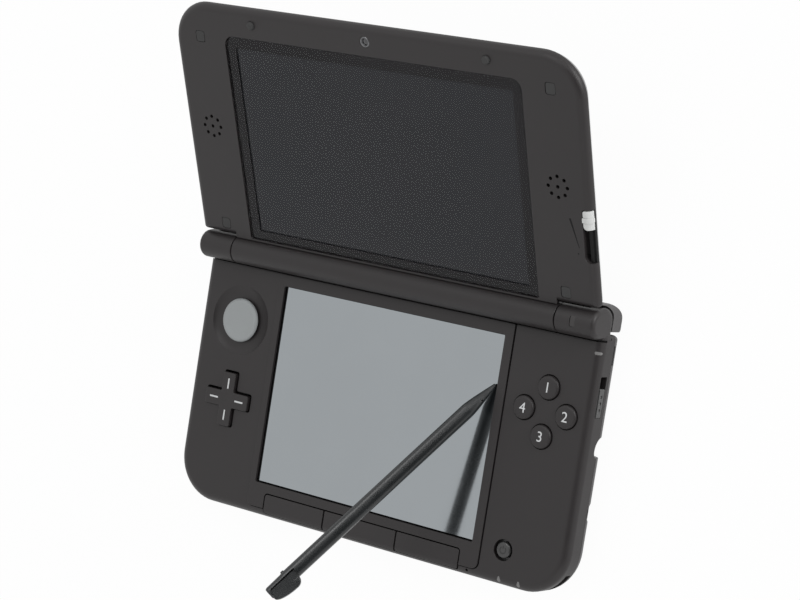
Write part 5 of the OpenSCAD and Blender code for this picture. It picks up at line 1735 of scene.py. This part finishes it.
@dataclass
class Studio:
    """A pale floor, soft light from a white room, and the camera of the main view."""

    lens: float = 110.67
    eye: Triple = (447.46, 100.85, 657.94)
    right: Triple = (0.80567, 0.15411, -0.57196)
    up: Triple = (-0.17495, 0.98440, 0.01881)
    back: Triple = (0.56594, 0.08491, 0.82006)
    zenith: float = 0.62
    horizon: float = 0.95
    floor: float = 0.85
    floor_white: float = 0.96
    floor_half: float = 2.5
    lamp_distance: float = 1.05
    card: tuple[Triple, float, float] = ((0.66, 0.0, 0.75), 1.15, 0.62)
    lamps: tuple[tuple[Triple, float, float], ...] = (
        ((-0.09, 0.50, 0.86), 0.36, 4.0), ((0.40, 0.49, 0.72), 0.16, 6.0), ((0.54, -0.64, 0.54), 0.16, 6.0),
        ((0.83, 0.52, 0.14), 0.5, 9.0))

    def build(self) -> None:
        """Sets up the studio."""
        self.camera()
        self.world()
        self.ground()
        self.dark_card()
        for k, (direction, size, glow) in enumerate(self.lamps):
            self.lamp(f"soft_lamp_{k + 1}", direction, size, glow)
        bpy.context.scene.view_settings.view_transform = "Standard"

    def camera(self) -> None:
        """The camera, placed and turned by its own axes."""
        data = bpy.data.cameras.new("camera")
        data.lens, data.sensor_width, data.clip_start = self.lens, 36.0, 0.01
        obj = linked("camera", data)
        rows = np.eye(4)
        rows[:3, 0], rows[:3, 1], rows[:3, 2] = self.right, self.up, self.back
        rows[:3, 3] = np.array(self.eye) * MM
        obj.matrix_world = Matrix(rows.tolist())
        bpy.context.scene.camera = obj

    def facing(self, direction: Triple, distance: float) -> Matrix:
        """A place in a direction from the object, facing back to it."""
        z = np.array(direction) / np.linalg.norm(direction)
        x = np.cross([0, 1, 0], z)
        x /= np.linalg.norm(x)
        rows = np.eye(4)
        rows[:3, 0], rows[:3, 1], rows[:3, 2], rows[:3, 3] = x, np.cross(z, x), z, z * distance
        return Matrix(rows.tolist())

    def seen(self, tree: Tree) -> Socket:
        """One where the camera, a reflection or a refraction looks, nought for scattered light."""
        path = node(tree, "ShaderNodeLightPath").outputs
        seen = maths(tree, "MAXIMUM", path["Is Camera Ray"], path["Is Glossy Ray"])
        return maths(tree, "MAXIMUM", seen, path["Is Transmission Ray"])

    def world(self) -> None:
        """A white room, whose scattered light is stronger from the sides than from overhead."""
        world = bpy.data.worlds.new("studio")
        bpy.context.scene.world = world
        tree = blank(world)
        way = node(tree, "ShaderNodeTexCoord").outputs["Generated"]
        height = node(tree, "ShaderNodeSeparateXYZ", {0: way}).outputs["Z"]
        level = ranged(tree, height, self.horizon, self.zenith, 0.1, 0.9)
        white = (1, 1, 1, 1)
        room = node(tree, "ShaderNodeBackground", {"Color": white, "Strength": level}).outputs[0]
        plain = node(tree, "ShaderNodeBackground", {"Color": white}).outputs[0]
        mixed = node(tree, "ShaderNodeMixShader", {0: self.seen(tree), 1: room, 2: plain}).outputs[0]
        node(tree, "ShaderNodeOutputWorld", {0: mixed})

    def sheet(self, name: str, half: float, place: Matrix) -> bpy.types.Object:
        """A flat square of the studio, half as wide as given, in metres."""
        corners = np.array([[-half, -half, 0, 1], [half, -half, 0, 1], [half, half, 0, 1], [-half, half, 0, 1]])
        flat = Shape((corners @ np.array(place).T)[:, :3] / MM, [(0, 1, 2, 3)])
        obj = linked(name, flat.mesh(name))
        return obj

    def ground(self) -> None:
        """The floor: pale to the light, nearly white to the camera and in reflections, with a faint shadow."""
        mat = bpy.data.materials.new("floor")
        tree = blank(mat)
        pale = node(tree, "ShaderNodeBsdfDiffuse", {"Color": (self.floor, self.floor, self.floor, 1)}).outputs[0]
        white = node(tree, "ShaderNodeEmission").outputs[0]
        share = maths(tree, "MULTIPLY", self.seen(tree), self.floor_white)
        mixed = node(tree, "ShaderNodeMixShader", {0: share, 1: pale, 2: white}).outputs[0]
        node(tree, "ShaderNodeOutputMaterial", {0: mixed})
        self.sheet("floor", self.floor_half, Matrix.Identity(4)).data.materials.append(mat)

    def dark_card(self) -> None:
        """A black card behind the camera, seen only in reflections, as the dark end of a studio is."""
        direction, distance, half = self.card
        mat = bpy.data.materials.new("dark_card")
        mat.use_nodes = True
        shader = mat.node_tree.nodes["Principled BSDF"]
        shader.inputs["Base Color"].default_value = (0.01, 0.01, 0.01, 1)
        shader.inputs["Roughness"].default_value = 0.9
        card = self.sheet("dark_card", half, self.facing(direction, distance))
        card.data.materials.append(mat)
        card.visible_camera = card.visible_diffuse = card.visible_shadow = card.visible_transmission = False

    def lamp(self, name: str, direction: Triple, size: float, glow: float) -> None:
        """A soft round lamp.

        Args:
            name: Its name.
            direction: Where it stands, from the object.
            size: Its diameter in metres.
            glow: How much brighter than the white room it looks.
        """
        data = bpy.data.lights.new(name, "AREA")
        data.shape, data.size = "DISK", size
        data.energy = glow * math.pi * math.pi * size * size / 4
        linked(name, data).matrix_world = self.facing(direction, self.lamp_distance)


def main() -> None:
    """Builds the console piece by piece, then its studio."""
    logging.basicConfig(level=logging.INFO, format="%(message)s")
    for part in (BaseShells(), LowerScreen(), CirclePad(), DirectionPad(), RoundButtons(), FrontKeys(), Hinge(),
                 ShoulderButtons(), SideControls(), Stylus(), LidShells(), LidFittings(), CarriedParts(), Studio()):
        log.info("%s", type(part).__name__)
        part.build()


if __name__ == "__main__":
    main()
